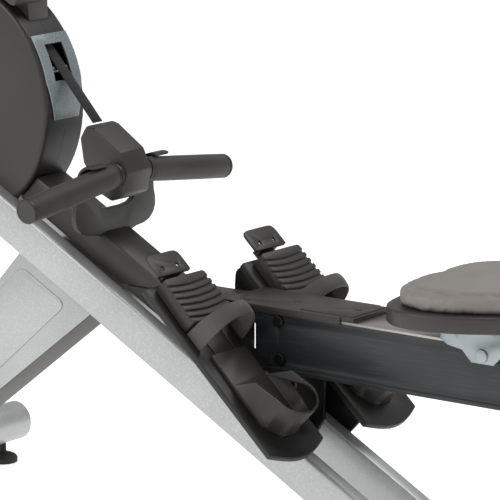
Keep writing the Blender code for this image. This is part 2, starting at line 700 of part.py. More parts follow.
def make_dock():
    """The handle's fork: a plate on the beam cover with two arms that hook over the grips."""
    cover_top = BEAM_COVER_RISE + BEAM_COVER_LIFT + GAP
    low = beam_top(DOCK_X) + cover_top / math.cos(BEAM_ANGLE)
    inner = DOCK_ARM_Y - DOCK_ARM_W / 2
    outer = DOCK_ARM_Y + DOCK_ARM_W / 2
    tip_z = HANDLE[1] - GRIP_DROOP * (DOCK_ARM_Y - HANDLE_BODY_HALF) + GRIP_R + 0.009
    half = [(0.027, low - 0.020), (0.027, low + 0.006), (0.050, low + 0.013),
            (outer - 0.010, low + 0.020), (outer, low + 0.036), (outer - 0.002, tip_z - 0.050),
            (outer - 0.006, tip_z), (inner + 0.006, tip_z), (inner - 0.004, tip_z - 0.040),
            (inner - 0.008, low + 0.046), (0.028, low + 0.033)]
    outline = half + [(-y, z) for y, z in reversed(half)]
    dock = sheet("handle_dock", [eased(outline, 0.004, 2)], DOCK_T, FACE_ON, (DOCK_X, 0, 0))
    for label, side in SIDES:
        hook_low = tip_z - 0.0065
        join(dock, side_box("hook_" + label, (DOCK_X - DOCK_T / 2, inner + 0.006, hook_low),
                            (HANDLE[0] + 0.003, outer - 0.006, tip_z + 0.001), side, 0.002))
    cut(dock, beam_slab("dock_foot_cut", -0.2, cover_top, 0.2))
    link(dock, PLASTIC)


# ---------------------------------------------------------------- drive housing
def drum_shape(name, radius, half, sides=72):
    """A disc across the machine, centred on the housing."""
    return y_rod(name, *HOUSING, -half, half, radius, sides)


def housing_solid(name, radius, half, tub_half, chord):
    """The housing's outer form: wide above the tubes, narrow where it drops between them."""
    solid = drum_shape(name, radius, half)
    for label, side in SIDES:
        cut(solid, beam_slab(name + "_chord_" + label, -0.8, chord, 0.1, side * (tub_half + 0.1)))
    return solid


def slot_wedge(name, angles, half, low, high):
    """A block through the housing's rim between two angles about its axis."""
    outline = arc(HOUSING, low, *angles, 8) + arc(HOUSING, high, angles[1], angles[0], 8)
    return sheet(name, [outline], 2 * half)


def make_housing():
    """Two shells that meet at the middle, the strap's slot and the trim round it."""
    for label, side in SIDES:
        shell = housing_solid("housing_cover_" + label, HOUSING_R, HOUSING_HALF, HOUSING_TUB_HALF,
                              GAP)
        cavity = housing_solid("housing_cavity_" + label, HOUSING_R - HOUSING_WALL,
                               HOUSING_HALF - HOUSING_WALL, HOUSING_TUB_HALF - HOUSING_WALL,
                               HOUSING_WALL)
        cut(shell, cavity)
        cut(shell, side_box("half_" + label, (-2, -0.4, -1), (1, GAP / 2, 1), side),
            slot_wedge("slot_" + label, SLOT_ANGLES, SLOT_HALF, HOUSING_R - 0.02,
                       HOUSING_R + 0.02),
            y_rod("bearing_seat_" + label, *FLYWHEEL, -0.2, 0.2, AXLE_R + RUN, 24),
            y_rod("drum_seat_" + label, DRUM.x, DRUM.z, -0.2, 0.2, AXLE_R + RUN, 24))
        link(shell, PLASTIC)
    angles = TRIM_ANGLES
    trim = slot_wedge("slot_trim", angles, TRIM_HALF, HOUSING_R + GAP, HOUSING_R + GAP + TRIM_T)
    taper = TRIM_HALF - TRIM_FOOT_HALF
    low_z = HOUSING[1] + HOUSING_R * math.sin(math.radians(angles[0])) - 0.01
    high_z = HOUSING[1] + HOUSING_R * math.sin(math.radians(SLOT_ANGLES[0]))
    for side in (-1, 1):
        outline = [(side * TRIM_FOOT_HALF, low_z), (side * (TRIM_FOOT_HALF + 2 * taper), low_z),
                   (side * (TRIM_HALF + taper), high_z), (side * TRIM_HALF, high_z)]
        cut(trim, sheet("trim_taper", [outline], 0.2, FACE_ON, (HOUSING[0] + HOUSING_R, 0, 0)))
    cut(trim, slot_wedge("trim_slot", SLOT_ANGLES, SLOT_HALF - 0.001, HOUSING_R - 0.02,
                         HOUSING_R + 0.02))
    link(trim, TRIM)


def make_flywheel():
    """The flywheel, its axle with the small pulley, and the bearings in the covers."""
    for name in ("flywheel", "pulley_shaft"):
        body(name, FLYWHEEL[0], 0, FLYWHEEL[1])
    half = FLYWHEEL_T / 2
    rim = FLYWHEEL_R - 0.030
    profile = [(AXLE_R + GAP, half), (0.028, half), (0.032, half - 0.006), (rim, half - 0.006),
               (rim + 0.004, half), (FLYWHEEL_R - 0.001, half), (FLYWHEEL_R, half - 0.001),
               (FLYWHEEL_R, -half + 0.001), (FLYWHEEL_R - 0.001, -half), (rim + 0.004, -half),
               (rim, -half + 0.006), (0.032, -half + 0.006), (0.028, -half), (AXLE_R + GAP, -half),
               (AXLE_R + GAP, half)]
    frame = Matrix.Translation((FLYWHEEL[0], 0, FLYWHEEL[1])) @ Matrix.Rotation(
        math.radians(90), 4, "X")
    link(turned("flywheel", profile, frame, 36), DARK_STEEL, "flywheel")
    end = HOUSING_HALF - 0.0005
    axle = y_rod("flywheel_axle", *FLYWHEEL, -end, end, AXLE_R, 24, bevel=0.0008)
    join(axle, y_rod("small_pulley", *FLYWHEEL, PULLEY_Y - PULLEY_T / 2, PULLEY_Y + PULLEY_T / 2,
                     SMALL_PULLEY_R, 20))
    link(axle, STEEL, "pulley_shaft")
    for label, side in SIDES:
        face = HOUSING_HALF - HOUSING_WALL - GAP
        y_low, y_high = sorted((side * (face - BEARING_T), side * face))
        bearing = y_rod("axle_bearing_" + label, *FLYWHEEL, y_low, y_high, BEARING_R, 28)
        cut(bearing, y_rod("bearing_bore", *FLYWHEEL, -0.1, 0.1, AXLE_R + GAP, 24))
        link(bearing, STEEL)


def make_drum():
    """The strap's reel on its shaft with the large pulley, and the belt to the flywheel."""
    body("strap_drum", DRUM.x, 0, DRUM.z)
    end = HOUSING_HALF - 0.0005
    drum = y_rod("strap_drum", DRUM.x, DRUM.z, -end, end, AXLE_R, 24)
    half = DRUM_W / 2
    join(drum, y_rod("reel", DRUM.x, DRUM.z, -half, half, DRUM_R, 28),
         y_rod("large_pulley", DRUM.x, DRUM.z, PULLEY_Y - PULLEY_T / 2, PULLEY_Y + PULLEY_T / 2,
               LARGE_PULLEY_R, 28))
    link(drum, PLASTIC, "strap_drum")

    fly = Vector((FLYWHEEL[0], FLYWHEEL[1]))
    reel = Vector((DRUM.x, DRUM.z))
    line = reel - fly
    heading = math.degrees(math.atan2(line.y, line.x))
    lean = math.degrees(math.asin((LARGE_PULLEY_R - SMALL_PULLEY_R) / line.length))

    def loop(extra):
        around_reel = arc(tuple(reel), LARGE_PULLEY_R + extra, heading - 90 - lean,
                          heading + 90 + lean, 20)
        around_fly = arc(tuple(fly), SMALL_PULLEY_R + extra, heading + 90 + lean,
                         heading + 270 - lean, 14)
        return around_reel + around_fly

    belt = sheet("drive_belt", [loop(RUN + BELT_T), loop(RUN)], BELT_W, at=(0, PULLEY_Y, 0))
    link(belt, RUBBER)


def make_brake():
    """The magnet yoke that straddles the flywheel's rim."""
    turn = math.radians(YOKE_ANGLE)
    reach = FLYWHEEL_R - 0.018
    inner = FLYWHEEL_T / 2 + YOKE_GAP
    outline = [(0, -0.020), (0.034, -0.018), (0.034, 0.018), (0, 0.020)]
    spots = []
    for along, across in outline:
        spots.append((FLYWHEEL[0] + (reach + along) * math.cos(turn) - across * math.sin(turn),
                      FLYWHEEL[1] + (reach + along) * math.sin(turn) + across * math.cos(turn)))
    yoke = sheet("magnet_yoke", [spots], 2 * (inner + 0.006))
    cut(yoke, y_rod("yoke_gap", *FLYWHEEL, -inner, inner, FLYWHEEL_R + YOKE_GAP, 64))
    link(yoke, DARK_STEEL)


# ---------------------------------------------------------------- strap and handle
def make_strap():
    """The drive strap from the reel, over the roller at the slot, to the handle."""
    start = DRUM_TOUCH
    end = Vector((STRAP_END[0], 0, STRAP_END[1])) - STRAP_DIR * GAP
    half = STRAP_UP * (STRAP_T / 2)
    outline = [(start - half), (end - half), (end + half), (start + half)]
    link(sheet("drive_strap", [[(p.x, p.z) for p in outline]], STRAP_W), WEBBING, "handle")
    under = STRAP_T / 2 + RUN + 0.006
    spot = Vector((STRAP_SLOT[0], 0, STRAP_SLOT[1])) - STRAP_DIR * 0.022 - STRAP_UP * under
    body("strap_roller", spot.x, 0, spot.z)
    link(y_rod("strap_roller", spot.x, spot.z, -0.016, 0.016, 0.006, 20), STEEL, "strap_roller")


def make_handle():
    """The handle's body and its two drooping grips."""
    body("handle", HANDLE[0], 0, HANDLE[1])
    x, z = HANDLE
    outline = [(x - 0.068, z + 0.048), (x - 0.055, z + 0.0695), (x - 0.040, z + 0.066),
               (x + 0.008, z + 0.034), (x + 0.022, z + 0.004), (x + 0.016, z - 0.030),
               (x - 0.008, z - 0.042), (x - 0.036, z - 0.030), (x - 0.062, z + 0.012)]
    handle = sheet("handle_body", [eased(outline, 0.010, 3)], 2 * HANDLE_BODY_HALF)
    rounded_edges(handle, 0.004)
    link(handle, PLASTIC, "handle")
    for label, side in SIDES:
        start_y = HANDLE_BODY_HALF + GAP
        fall = GRIP_DROOP * (GRIP_END_Y - start_y)
        length = math.hypot(GRIP_END_Y - start_y, fall)
        tilt = math.atan(GRIP_DROOP)
        frame = (Matrix.Translation((x, side * start_y, z))
                 @ Matrix.Rotation(-side * (math.pi / 2 + tilt), 4, "X"))
        root = GRIP_R * math.tan(tilt) + 0.0005
        profile = [(0.0, length), (GRIP_R - 0.004, length), (GRIP_R, length - 0.003),
                   (GRIP_R, root), (0.0, root)]
        link(turned("grip_" + label, profile, frame, 24), FOAM, "handle")


# ---------------------------------------------------------------- console
def make_console():
    """The arm and its shroud above the housing, the tilting console and its buttons."""
    cx, cz = CONSOLE
    hinge = (cx - 0.020, cz)
    foot = arc(HOUSING, HOUSING_R - 0.004, *CONSOLE_ARM_ANGLES, 2)
    eye = arc(hinge, CONSOLE_EYE_R, -50, 170, 12)
    outline = [foot[0]] + eye + [foot[2]]
    arm = sheet("console_arm", [outline], 2 * CONSOLE_ARM_HALF)
    join(arm, sheet("console_shroud", [eased(SHROUD, 0.008, 2)], 2 * SHROUD_HALF, bevel=0.010))
    cut(arm, drum_shape("arm_seat", HOUSING_R + GAP, 0.2, 96),
        y_rod("arm_bore", *hinge, -0.1, 0.1, CONSOLE_PIN_R + RUN / 2, 20))
    link(arm, PLASTIC)
    body("console", hinge[0], 0, hinge[1])
    face = Vector((math.cos(CONSOLE_TILT), 0, math.sin(CONSOLE_TILT)))
    up = Vector((-face.z, 0, face.x))
    frame = Matrix(((0, up.x, face.x), (1, 0, 0), (0, up.z, face.z))).to_4x4()
    centre = Vector((cx, 0, cz)) + up * (CONSOLE_H / 2 + CONSOLE_RISE) - face * 0.004
    half_w, half_h = CONSOLE_W / 2, CONSOLE_H / 2
    outline = eased([(-half_w + 0.012, -half_h), (half_w - 0.012, -half_h), (half_w, half_h),
                     (-half_w, half_h)], 0.018, 4)
    case = sheet("console_case", [outline], CONSOLE_T, frame, centre)
    rounded_edges(case, 0.005, 1)
    front = centre + face * (CONSOLE_T / 2)

    def spot(across, height, depth):
        place = front + up * height + face * depth
        return Vector((place.x, across, place.z))

    window = eased([(-0.085, -0.032), (0.085, -0.032), (0.085, 0.056), (-0.085, 0.056)], 0.006, 2)
    pocket = sheet("screen_pocket", [window], 0.006, frame, front)
    cut(case, pocket)
    small = eased([(-0.0845, -0.0315), (0.0845, -0.0315), (0.0845, 0.0555), (-0.0845, 0.0555)],
                  0.006, 2)
    pin = CONSOLE_ARM_HALF + RUN + 0.009
    for side in (-1, 1):
        lug_low, lug_high = sorted((side * (CONSOLE_ARM_HALF + RUN), side * pin))
        lug_outline = arc(hinge, CONSOLE_EYE_R, 112 + 90, 292 + 90, 8)
        lug_outline += [(centre.x - up.x * (half_h - 0.02), centre.z - up.z * (half_h - 0.02))]
        join(case, sheet("console_lug", [lug_outline], lug_high - lug_low,
                         at=(0, (lug_low + lug_high) / 2, 0)))
    join(case, y_rod("console_pin", *hinge, -pin + 0.001, pin - 0.001, CONSOLE_PIN_R, 20))
    link(case, PLASTIC, "console")
    link(sheet("console_screen", [small], 0.002, frame, front - face * 0.0015), SCREEN,
         "console")
    for index, across in enumerate((-0.045, 0.0, 0.045)):
        name = "console_button_%d" % (index + 1)
        low, high = spot(across, -0.058, -0.0060), spot(across, -0.058, 0.0025)
        cut(case, rod("button_well", spot(across, -0.058, -0.0090), spot(across, -0.058, 0.01),
                      BUTTON_R + RUN / 2, 24))
        body(name, *low, parent="console")
        link(rod(name, low, high, BUTTON_R, 24, bevel=0.001), TRIM, name)


# ---------------------------------------------------------------- pedals
PEDAL_DOWN = Vector((math.cos(PEDAL_ANGLE), 0, -math.sin(PEDAL_ANGLE)))
PEDAL_UP = Vector((math.sin(PEDAL_ANGLE), 0, math.cos(PEDAL_ANGLE)))


def pedal_frame(side):
    """Outline x runs down the pedal, y outwards from its middle line, normal off its face."""
    across = Vector((0, side, 0))
    normal = PEDAL_UP
    return Matrix(((PEDAL_DOWN.x, across.x, normal.x), (0, across.y, 0),
                   (PEDAL_DOWN.z, across.z, normal.z))).to_4x4()


def pedal_place(side, height):
    """The pedal's origin, raised off the base plate's top face."""
    return Vector((PEDAL_TOP[0], side * PEDAL_Y, PEDAL_TOP[1])) + PEDAL_UP * height


def pedal_sheet(name, outline, side, low, high, bevel=0.0):
    """A layer of the pedal between two heights over the base plate's top face."""
    return sheet(name, [outline], high - low, pedal_frame(side),
                 pedal_place(side, (low + high) / 2), bevel)


def foot_strap_outline(low, high):
    """The strap's arch seen along the pedal: (across, height) for its inner and outer faces."""
    points = []
    for scale in (0.0, FOOT_STRAP_T):
        wide, tall = FOOT_STRAP_HALF - scale, FOOT_STRAP_RISE - scale
        ring = [(wide * math.cos(a), low + (tall - low) * math.sin(a))
                for a in [math.pi * i / 20 for i in range(21)]]
        points.append(ring)
    return points[0] + points[1][::-1]


def make_pedal(label, side):
    """Base plate, toe block, foot strap, heel slider and the bracket under them."""
    half = PEDAL_W / 2
    lower = [(PEDAL_L + PEDAL_BULGE * math.sin(math.pi * i / 10), -half + 2 * half * i / 10)
             for i in range(11)]
    base = pedal_sheet("pedal_base_" + label, [(0.0, half), (0.0, -half)] + lower, side,
                       -PEDAL_T, 0.0)
    channel = SLIDER_W / 2 + 0.001
    cut(base, pedal_sheet("channel_" + label, [
        (-0.05, -channel), (PEDAL_L - 0.030, -channel), (PEDAL_L - 0.030, channel),
        (-0.05, channel)], side, -SLIDER_T - RUN, 0.02))
    link(base, PLASTIC)

    first, last = TOE_S
    block = pedal_sheet("toe_block_" + label, eased([
        (first, -TOE_HALF + 0.004), (last, -TOE_HALF), (last, TOE_HALF),
        (first, TOE_HALF - 0.004)], 0.005, 2), side, GAP, TOE_H)
    pitch = (last - first - 0.012) / TOE_RIBS
    for rib in range(TOE_RIBS):
        start = first + 0.010 + rib * pitch
        across = [-TOE_HALF - 0.005 + (2 * TOE_HALF + 0.01) * i / 4 for i in range(5)]
        bow = [0.006 * math.sin(math.pi * i / 4) for i in range(5)]
        groove = [(start + rise, y) for rise, y in zip(bow, across)]
        groove += [(x + 0.004, y) for x, y in reversed(groove)]
        cut(block, pedal_sheet("rib_%s" % label, groove, side, TOE_H - 0.003, TOE_H + 0.01))
    link(block, PLASTIC)
    make_foot_strap(label, side)
    make_heel_slider(label, side)
    make_pedal_bracket(label, side)


def make_foot_strap(label, side):
    """The arched strap over the ball of the foot."""
    first, last = FOOT_STRAP_S
    down = PEDAL_DOWN
    frame = Matrix(((0, PEDAL_UP.x, down.x), (side, PEDAL_UP.y, 0),
                    (0, PEDAL_UP.z, down.z))).to_4x4()
    place = pedal_place(side, 0) + down * (first + last) / 2
    strap = sheet("foot_strap_" + label, [foot_strap_outline(GAP, 0)], last - first, frame, place)
    link(strap, STRAP_RUBBER)


def cup_outline(radius, front):
    """The heel cup's plan: straight sides and a round end."""
    return [(front, -radius)] + arc((CUP_S, 0), radius, -90, 90, 12) + [(front, radius)]


def make_heel_slider(label, side):
    """Strip in the base's channel, the tab at its upper end, the sole and the heel cup."""
    group = "heel_slider_" + label
    body(group, *pedal_place(side, 0))
    strip = SLIDER_W / 2
    end = SOLE_S[1] - 0.062
    slider = pedal_sheet(group, [(-0.014, -strip), (end, -strip), (end, strip), (-0.014, strip)],
                         side, -SLIDER_T, -GAP)
    low, high = TAB_Z
    tab = pedal_sheet("tab_" + label, eased([
        (TAB_TOP_S, -TAB_HALF), (-0.005, -TAB_HALF), (-0.005, TAB_HALF), (TAB_TOP_S, TAB_HALF)],
        (0.012, 0.004, 0.004, 0.012), 3), side, low, high)
    for spot in (-0.017, 0.017):
        hole = pedal_place(side, low) + PEDAL_DOWN * -0.018 + Vector((0, spot, 0))
        cut(tab, rod("tab_hole", hole - PEDAL_UP * 0.02, hole + PEDAL_UP * 0.02, 0.0035, 16))
    rise = strip - 0.003
    join(slider, tab, pedal_sheet("tab_riser_" + label, [
        (-0.013, -rise), (-0.006, -rise), (-0.006, rise), (-0.013, rise)], side,
        -SLIDER_T / 2, low + 0.002))
    first, last = SOLE_S
    sole = [(first, -SOLE_HALF + 0.004), (0.200, -SOLE_HALF), (0.262, -SOLE_HALF), (last, -0.018),
            (last, 0.018), (0.262, SOLE_HALF), (0.200, SOLE_HALF), (first, SOLE_HALF - 0.004)]
    join(slider, pedal_sheet("sole_" + label, sole, side, GAP, SOLE_T))
    join(slider, pedal_sheet("sole_web_" + label, [
        (first + 0.01, -rise), (end - 0.01, -rise), (end - 0.01, rise), (first + 0.01, rise)],
        side, -SLIDER_T / 2, SOLE_T / 2))
    cup = pedal_sheet("cup_" + label, cup_outline(CUP_R, 0.185), side, SOLE_T / 2, 0.078)
    cut(cup, pedal_sheet("cup_inside_" + label, cup_outline(CUP_R - CUP_T, 0.10), side,
                         SOLE_T - 0.001, 0.10))
    slope = [(0.10, 0.012), (0.188, 0.012), (0.210, 0.049), (0.250, 0.063), (0.34, 0.070),
             (0.34, 0.12), (0.10, 0.12)]
    fall = -side * CUP_FALL
    slant_frame = Matrix(((PEDAL_DOWN.x, PEDAL_UP.x, PEDAL_UP.x * fall), (0, 0, 1),
                          (PEDAL_DOWN.z, PEDAL_UP.z, PEDAL_UP.z * fall))).to_4x4()
    side_frame = Matrix(((PEDAL_DOWN.x, PEDAL_UP.x, 0), (0, 0, 1),
                         (PEDAL_DOWN.z, PEDAL_UP.z, 0))).to_4x4()
    inner_wall = pedal_place(side, 0) - Vector((0, side * 0.06, 0))
    cut(cup, sheet("cup_slope_" + label, [slope], 0.2, slant_frame, pedal_place(side, 0)),
        sheet("cup_window_" + label, [CUP_WINDOW], 0.08, side_frame, inner_wall))
    join(slider, cup)
    link(slider, PLASTIC, group)


def make_pedal_bracket(label, side):
    """The plate that carries the foot plate on the beam's outer face."""
    inner_y = BEAM_OUT + GAP

    def spot(along, depth):
        return PEDAL_TOP[0] + PEDAL_DOWN.x * along - PEDAL_UP.x * depth, \
            PEDAL_TOP[1] + PEDAL_DOWN.z * along - PEDAL_UP.z * depth

    under = PEDAL_T + GAP
    corners = [(0.0, under), (0.295, under), (0.295, 0.056), (0.215, 0.073), (0.110, 0.066),
               (0.012, 0.055), (-0.008, 0.030)]
    outline = eased([spot(*corner) for corner in corners],
                    (0.0, 0.0, 0.006, 0.010, 0.020, 0.020, 0.014), 3)
    link(sheet("pedal_bracket_" + label, [outline], BRACKET_T,
               at=(0, side * (inner_y + BRACKET_T / 2), 0)), DARK_STEEL)


# ---------------------------------------------------------------- seat
def seat_outline(scale):
    """The seat's plan, its corners cut once so that it reads as one curve."""
    half = [(x * SEAT_HALF_L, y * SEAT_HALF_W) for x, y in SEAT_PLAN]
    ring = half + [(x, -y) for x, y in reversed(half)]
    points = []
    for (x, y), (next_x, next_y) in zip(ring, ring[1:] + ring[:1]):
        for share in (0.25, 0.75):
            points.append((SEAT_X + scale * (x + share * (next_x - x)), scale * (y + share * (next_y - y))))
    return points[::-1]


LEVEL = Matrix.Identity(4)


def make_seat():
    """Pad, moulded base, carriage and the rollers that run on the track."""
    body("carriage", SEAT_X, 0, 0, parent="rail")
    low, high = SEAT_RIM_Z, SEAT_RIM_Z + SEAT_RIM_H
    base = sheet("seat_base", [seat_outline(1.0)], SEAT_RIM_H, LEVEL, (0, 0, (low + high) / 2))
    rounded_edges(base, 0.004, 1)
    recess = CARRIAGE_HALF_W + 0.004
    cut(base, box("seat_hollow", (SEAT_X - CARRIAGE_HALF_L - 0.006, -recess, low - 0.01),
                  (SEAT_X + CARRIAGE_HALF_L + 0.006, recess, CARRIAGE_TOP_Z + CARRIAGE_T + GAP)))
    link(base, PLASTIC, "carriage")
    pad = sheet("seat_pad", [seat_outline(SEAT_PAD_SCALE)], SEAT_PAD_H, LEVEL,
                (0, 0, high + GAP + SEAT_PAD_H / 2))
    rounded_edges(pad, 0.010, 2)
    link(pad, PAD, "carriage")

    half_l, half_w, wall = CARRIAGE_HALF_L, CARRIAGE_HALF_W, CARRIAGE_T
    top = CARRIAGE_TOP_Z + CARRIAGE_T
    section = [(-half_w, CARRIAGE_DROP_Z), (-half_w + wall, CARRIAGE_DROP_Z),
               (-half_w + wall, top - wall), (half_w - wall, top - wall),
               (half_w - wall, CARRIAGE_DROP_Z), (half_w, CARRIAGE_DROP_Z), (half_w, top),
               (-half_w, top)]
    carriage = sheet("seat_carriage", [section], 2 * half_l, FACE_ON, (SEAT_X, 0, 0))
    for end in (-1, 1):
        edge = SEAT_X + end * half_l
        outline = [(edge + end * 0.01, CARRIAGE_DROP_Z - 0.01), (edge - end * 0.060, CARRIAGE_DROP_Z - 0.01),
                   (edge - end * 0.050, CARRIAGE_DROP_Z + 0.002), (edge - end * 0.036, -0.010),
                   (edge - end * 0.012, -0.006), (edge + end * 0.01, 0.006)]
        cut(carriage, sheet("skirt_cut", [outline], 0.3))
        axle_x = SEAT_X + end * ROLLER_SPACING / 2
        cut(carriage, y_rod("axle_hole", axle_x, ROLLER_R + GAP, -0.1, 0.1, 0.0042, 16))
    for side in (-1, 1):
        inner = RAIL_W / 2 + TRACK_T + GAP + RUN
        y_low, y_high = sorted((side * inner, side * (half_w + STUD_T)))
        join(carriage, y_rod("guide_stud", SEAT_X, STUD_Z, y_low, y_high, STUD_R, 24))
    link(carriage, ALUMINIUM, "carriage")

    for label, end in (("front", -1), ("rear", 1)):
        axle_x = SEAT_X + end * ROLLER_SPACING / 2
        axle_z = ROLLER_R + GAP
        group = "seat_rollers_" + label
        body(group, axle_x, 0, axle_z, parent="carriage")
        rollers = y_rod(group, axle_x, axle_z, -half_w - 0.002, half_w + 0.002, 0.0038, 16)
        for side in (-1, 1):
            y_low, y_high = sorted((side * (ROLLER_Y - ROLLER_W / 2), side * (ROLLER_Y + ROLLER_W / 2)))
            join(rollers, y_rod("roller_tyre", axle_x, axle_z, y_low, y_high, ROLLER_R, 24))
        link(rollers, PLASTIC, group)


# ---------------------------------------------------------------- the machine
body("frame")
make_beam()
make_front_leg()
make_front_stabiliser()
link(stabiliser("middle_stabiliser", MID_STAB_X, STAB_Z, STAB_R, STAB_HALF), SILVER)
for place, foot_x in (("front", FRONT_STAB_X), ("middle", MID_STAB_X)):
    for label, side in SIDES:
        make_foot("foot_%s_%s" % (place, label), foot_x, side * FOOT_Y, STAB_Z, STAB_R, "frame")
make_rail()
make_rail_bracket()
make_rear_support()
make_fairings()
make_dock()
make_housing()
make_flywheel()
make_drum()
make_brake()
make_handle()
make_strap()
make_console()
for label, side in SIDES:
    make_pedal(label, side)
make_seat()
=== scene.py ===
"""Rowing machine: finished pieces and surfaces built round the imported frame.

Every sub-assembly is one class. It holds its sizes, models the pieces that the
frame only blocks out, and dresses the frame's own nodes.
"""

from __future__ import annotations

import json
import logging
import math
from collections.abc import Callable, Iterable, Sequence
from dataclasses import dataclass
from enum import Enum

import bpy
from mathutils import Matrix, Vector

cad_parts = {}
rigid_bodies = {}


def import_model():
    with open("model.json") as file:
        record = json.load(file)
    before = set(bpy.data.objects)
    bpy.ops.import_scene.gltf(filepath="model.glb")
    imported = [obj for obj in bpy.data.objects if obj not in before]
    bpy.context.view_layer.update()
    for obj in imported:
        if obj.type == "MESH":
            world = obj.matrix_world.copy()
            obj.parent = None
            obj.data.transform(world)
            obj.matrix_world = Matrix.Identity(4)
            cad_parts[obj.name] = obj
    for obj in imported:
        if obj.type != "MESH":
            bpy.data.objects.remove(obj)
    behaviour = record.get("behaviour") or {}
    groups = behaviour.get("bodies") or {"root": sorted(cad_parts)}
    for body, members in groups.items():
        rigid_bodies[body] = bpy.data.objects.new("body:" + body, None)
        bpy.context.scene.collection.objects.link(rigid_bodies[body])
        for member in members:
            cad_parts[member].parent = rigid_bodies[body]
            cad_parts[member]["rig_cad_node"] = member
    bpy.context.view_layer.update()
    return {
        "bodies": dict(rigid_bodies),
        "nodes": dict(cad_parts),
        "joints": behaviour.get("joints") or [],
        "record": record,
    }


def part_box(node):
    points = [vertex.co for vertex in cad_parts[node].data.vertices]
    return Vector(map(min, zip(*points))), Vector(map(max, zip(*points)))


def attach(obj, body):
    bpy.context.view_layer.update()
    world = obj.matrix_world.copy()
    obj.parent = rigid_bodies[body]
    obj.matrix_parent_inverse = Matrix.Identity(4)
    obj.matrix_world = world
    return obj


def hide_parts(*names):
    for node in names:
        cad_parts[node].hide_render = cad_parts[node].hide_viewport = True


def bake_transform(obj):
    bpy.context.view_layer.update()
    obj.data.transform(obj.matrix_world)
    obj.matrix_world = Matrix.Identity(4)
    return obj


LOG = logging.getLogger("rowing_machine")
DATUM = Vector((-0.2875, 0.0, 0.400))   # the rail's top at the fold bracket
SIDES = (("left", -1), ("right", 1))

PEDAL_ANGLE = math.radians(43.1)
PEDAL_TOP = Vector((-0.1276, 0.0, 0.0374))
PEDAL_Y = 0.1169
PEDAL_DOWN = Vector((math.cos(PEDAL_ANGLE), 0.0, -math.sin(PEDAL_ANGLE)))
PEDAL_UP = Vector((math.sin(PEDAL_ANGLE), 0.0, math.cos(PEDAL_ANGLE)))
HOUSING_CENTRE = DATUM + Vector((-0.610, 0.0, 0.2477))
STRAP_START = Vector((-0.4165, 0.0, 0.2945))   # from the datum: where the drive strap leaves the housing
STRAP_END = Vector((-0.3600, 0.0, 0.2321))     # and where the handle's hook holds it

WELD = 1e-5          # points nearer than this are one
NODE_WELD = 2e-5     # the same on a frame node, whose faces don't share points
FLAT = math.radians(0.8)   # faces that turn less than this are one flat face
THREADS = 0.314      # wave bands that put one thread or rib in each grain
WHITE = (1.0, 1.0, 1.0, 1.0)

DRIFT_BAND = (0.35, 0.65)    # slow noise: where a finish's one tone turns into the other
FLECK_BAND = (0.5, 0.75)     # fine relief: from no fleck to a full one
EDGE_HIGHLIGHT_BAND = (0.995, 0.86)     # cosine between rounded and flat normal: from no painted edge highlight to full
BUMP_STRENGTH = 0.6
COAT_ROUGHNESS = 0.18
SHEEN_ROUGHNESS = 0.4


# ---------------------------------------------------------------- places
def at(x: float, y: float, z: float) -> Vector:
    """A point given from the datum.

    Args:
        x: distance toward the rail's rear end.
        y: distance toward the rower's right.
        z: height over the rail's top.

    Returns:
        The point in the row frame.
    """
    return DATUM + Vector((x, y, z))


def on_pedal(side: int, along: float, across: float, above: float) -> Vector:
    """A point of a foot plate.

    Args:
        side: -1 for the left plate, 1 for the right one.
        along: distance down the plate from its upper end.
        across: distance from the plate's middle line, along Y.
        above: height over the plate's top face.

    Returns:
        The point in the row frame.
    """
    place = DATUM + PEDAL_TOP + PEDAL_DOWN * along + PEDAL_UP * above
    return place + Vector((0.0, side * PEDAL_Y + across, 0.0))


# ---------------------------------------------------------------- modelling
class Part(Enum):
    """What a selection in edit mode is made of."""

    VERT = "VERT"
    EDGE = "EDGE"
    FACE = "FACE"


def deselect_all() -> None:
    """Leaves object mode with nothing selected."""
    if bpy.context.mode != "OBJECT":
        bpy.ops.object.mode_set(mode="OBJECT")
    bpy.ops.object.select_all(action="DESELECT")


def activate(obj: bpy.types.Object) -> None:
    """Makes one object the only selected one, and active.

    Args:
        obj: the object.
    """
    deselect_all()
    obj.select_set(True)
    bpy.context.view_layer.objects.active = obj


def named(name: str) -> bpy.types.Object:
    """Names the new active object and puts its place in its mesh.

    Args:
        name: the piece's name.

    Returns:
        The active object, with an identity transform.
    """
    obj = bpy.context.view_layer.objects.active
    obj.name = name
    obj.data.name = name
    bpy.ops.object.transform_apply(location=True, rotation=True, scale=True)
    return obj


def select(obj: bpy.types.Object, part: Part, test: Callable[[Vector], bool]) -> int:
    """Opens edit mode with the parts whose middle passes a test selected.

    Args:
        obj: the mesh.
        part: the kind of part to select.
        test: takes the middle of a part and says whether it is wanted.

    Returns:
        How many parts were selected.
    """
    activate(obj)
    bpy.ops.object.mode_set(mode="EDIT")
    bpy.context.tool_settings.mesh_select_mode = [part is kind for kind in Part]
    bpy.ops.mesh.select_all(action="DESELECT")
    bpy.ops.object.mode_set(mode="OBJECT")
    mesh = obj.data
    points = [vertex.co.copy() for vertex in mesh.vertices]
    if part is Part.VERT:
        items, middles = mesh.vertices, points
    elif part is Part.EDGE:
        items = mesh.edges
        middles = [(points[edge.vertices[0]] + points[edge.vertices[1]]) / 2
                   for edge in items]
    else:
        items, middles = mesh.polygons, [face.center.copy() for face in mesh.polygons]
    chosen = [test(middle) for middle in middles]
    items.foreach_set("select", chosen)
    bpy.ops.object.mode_set(mode="EDIT")
    return sum(chosen)


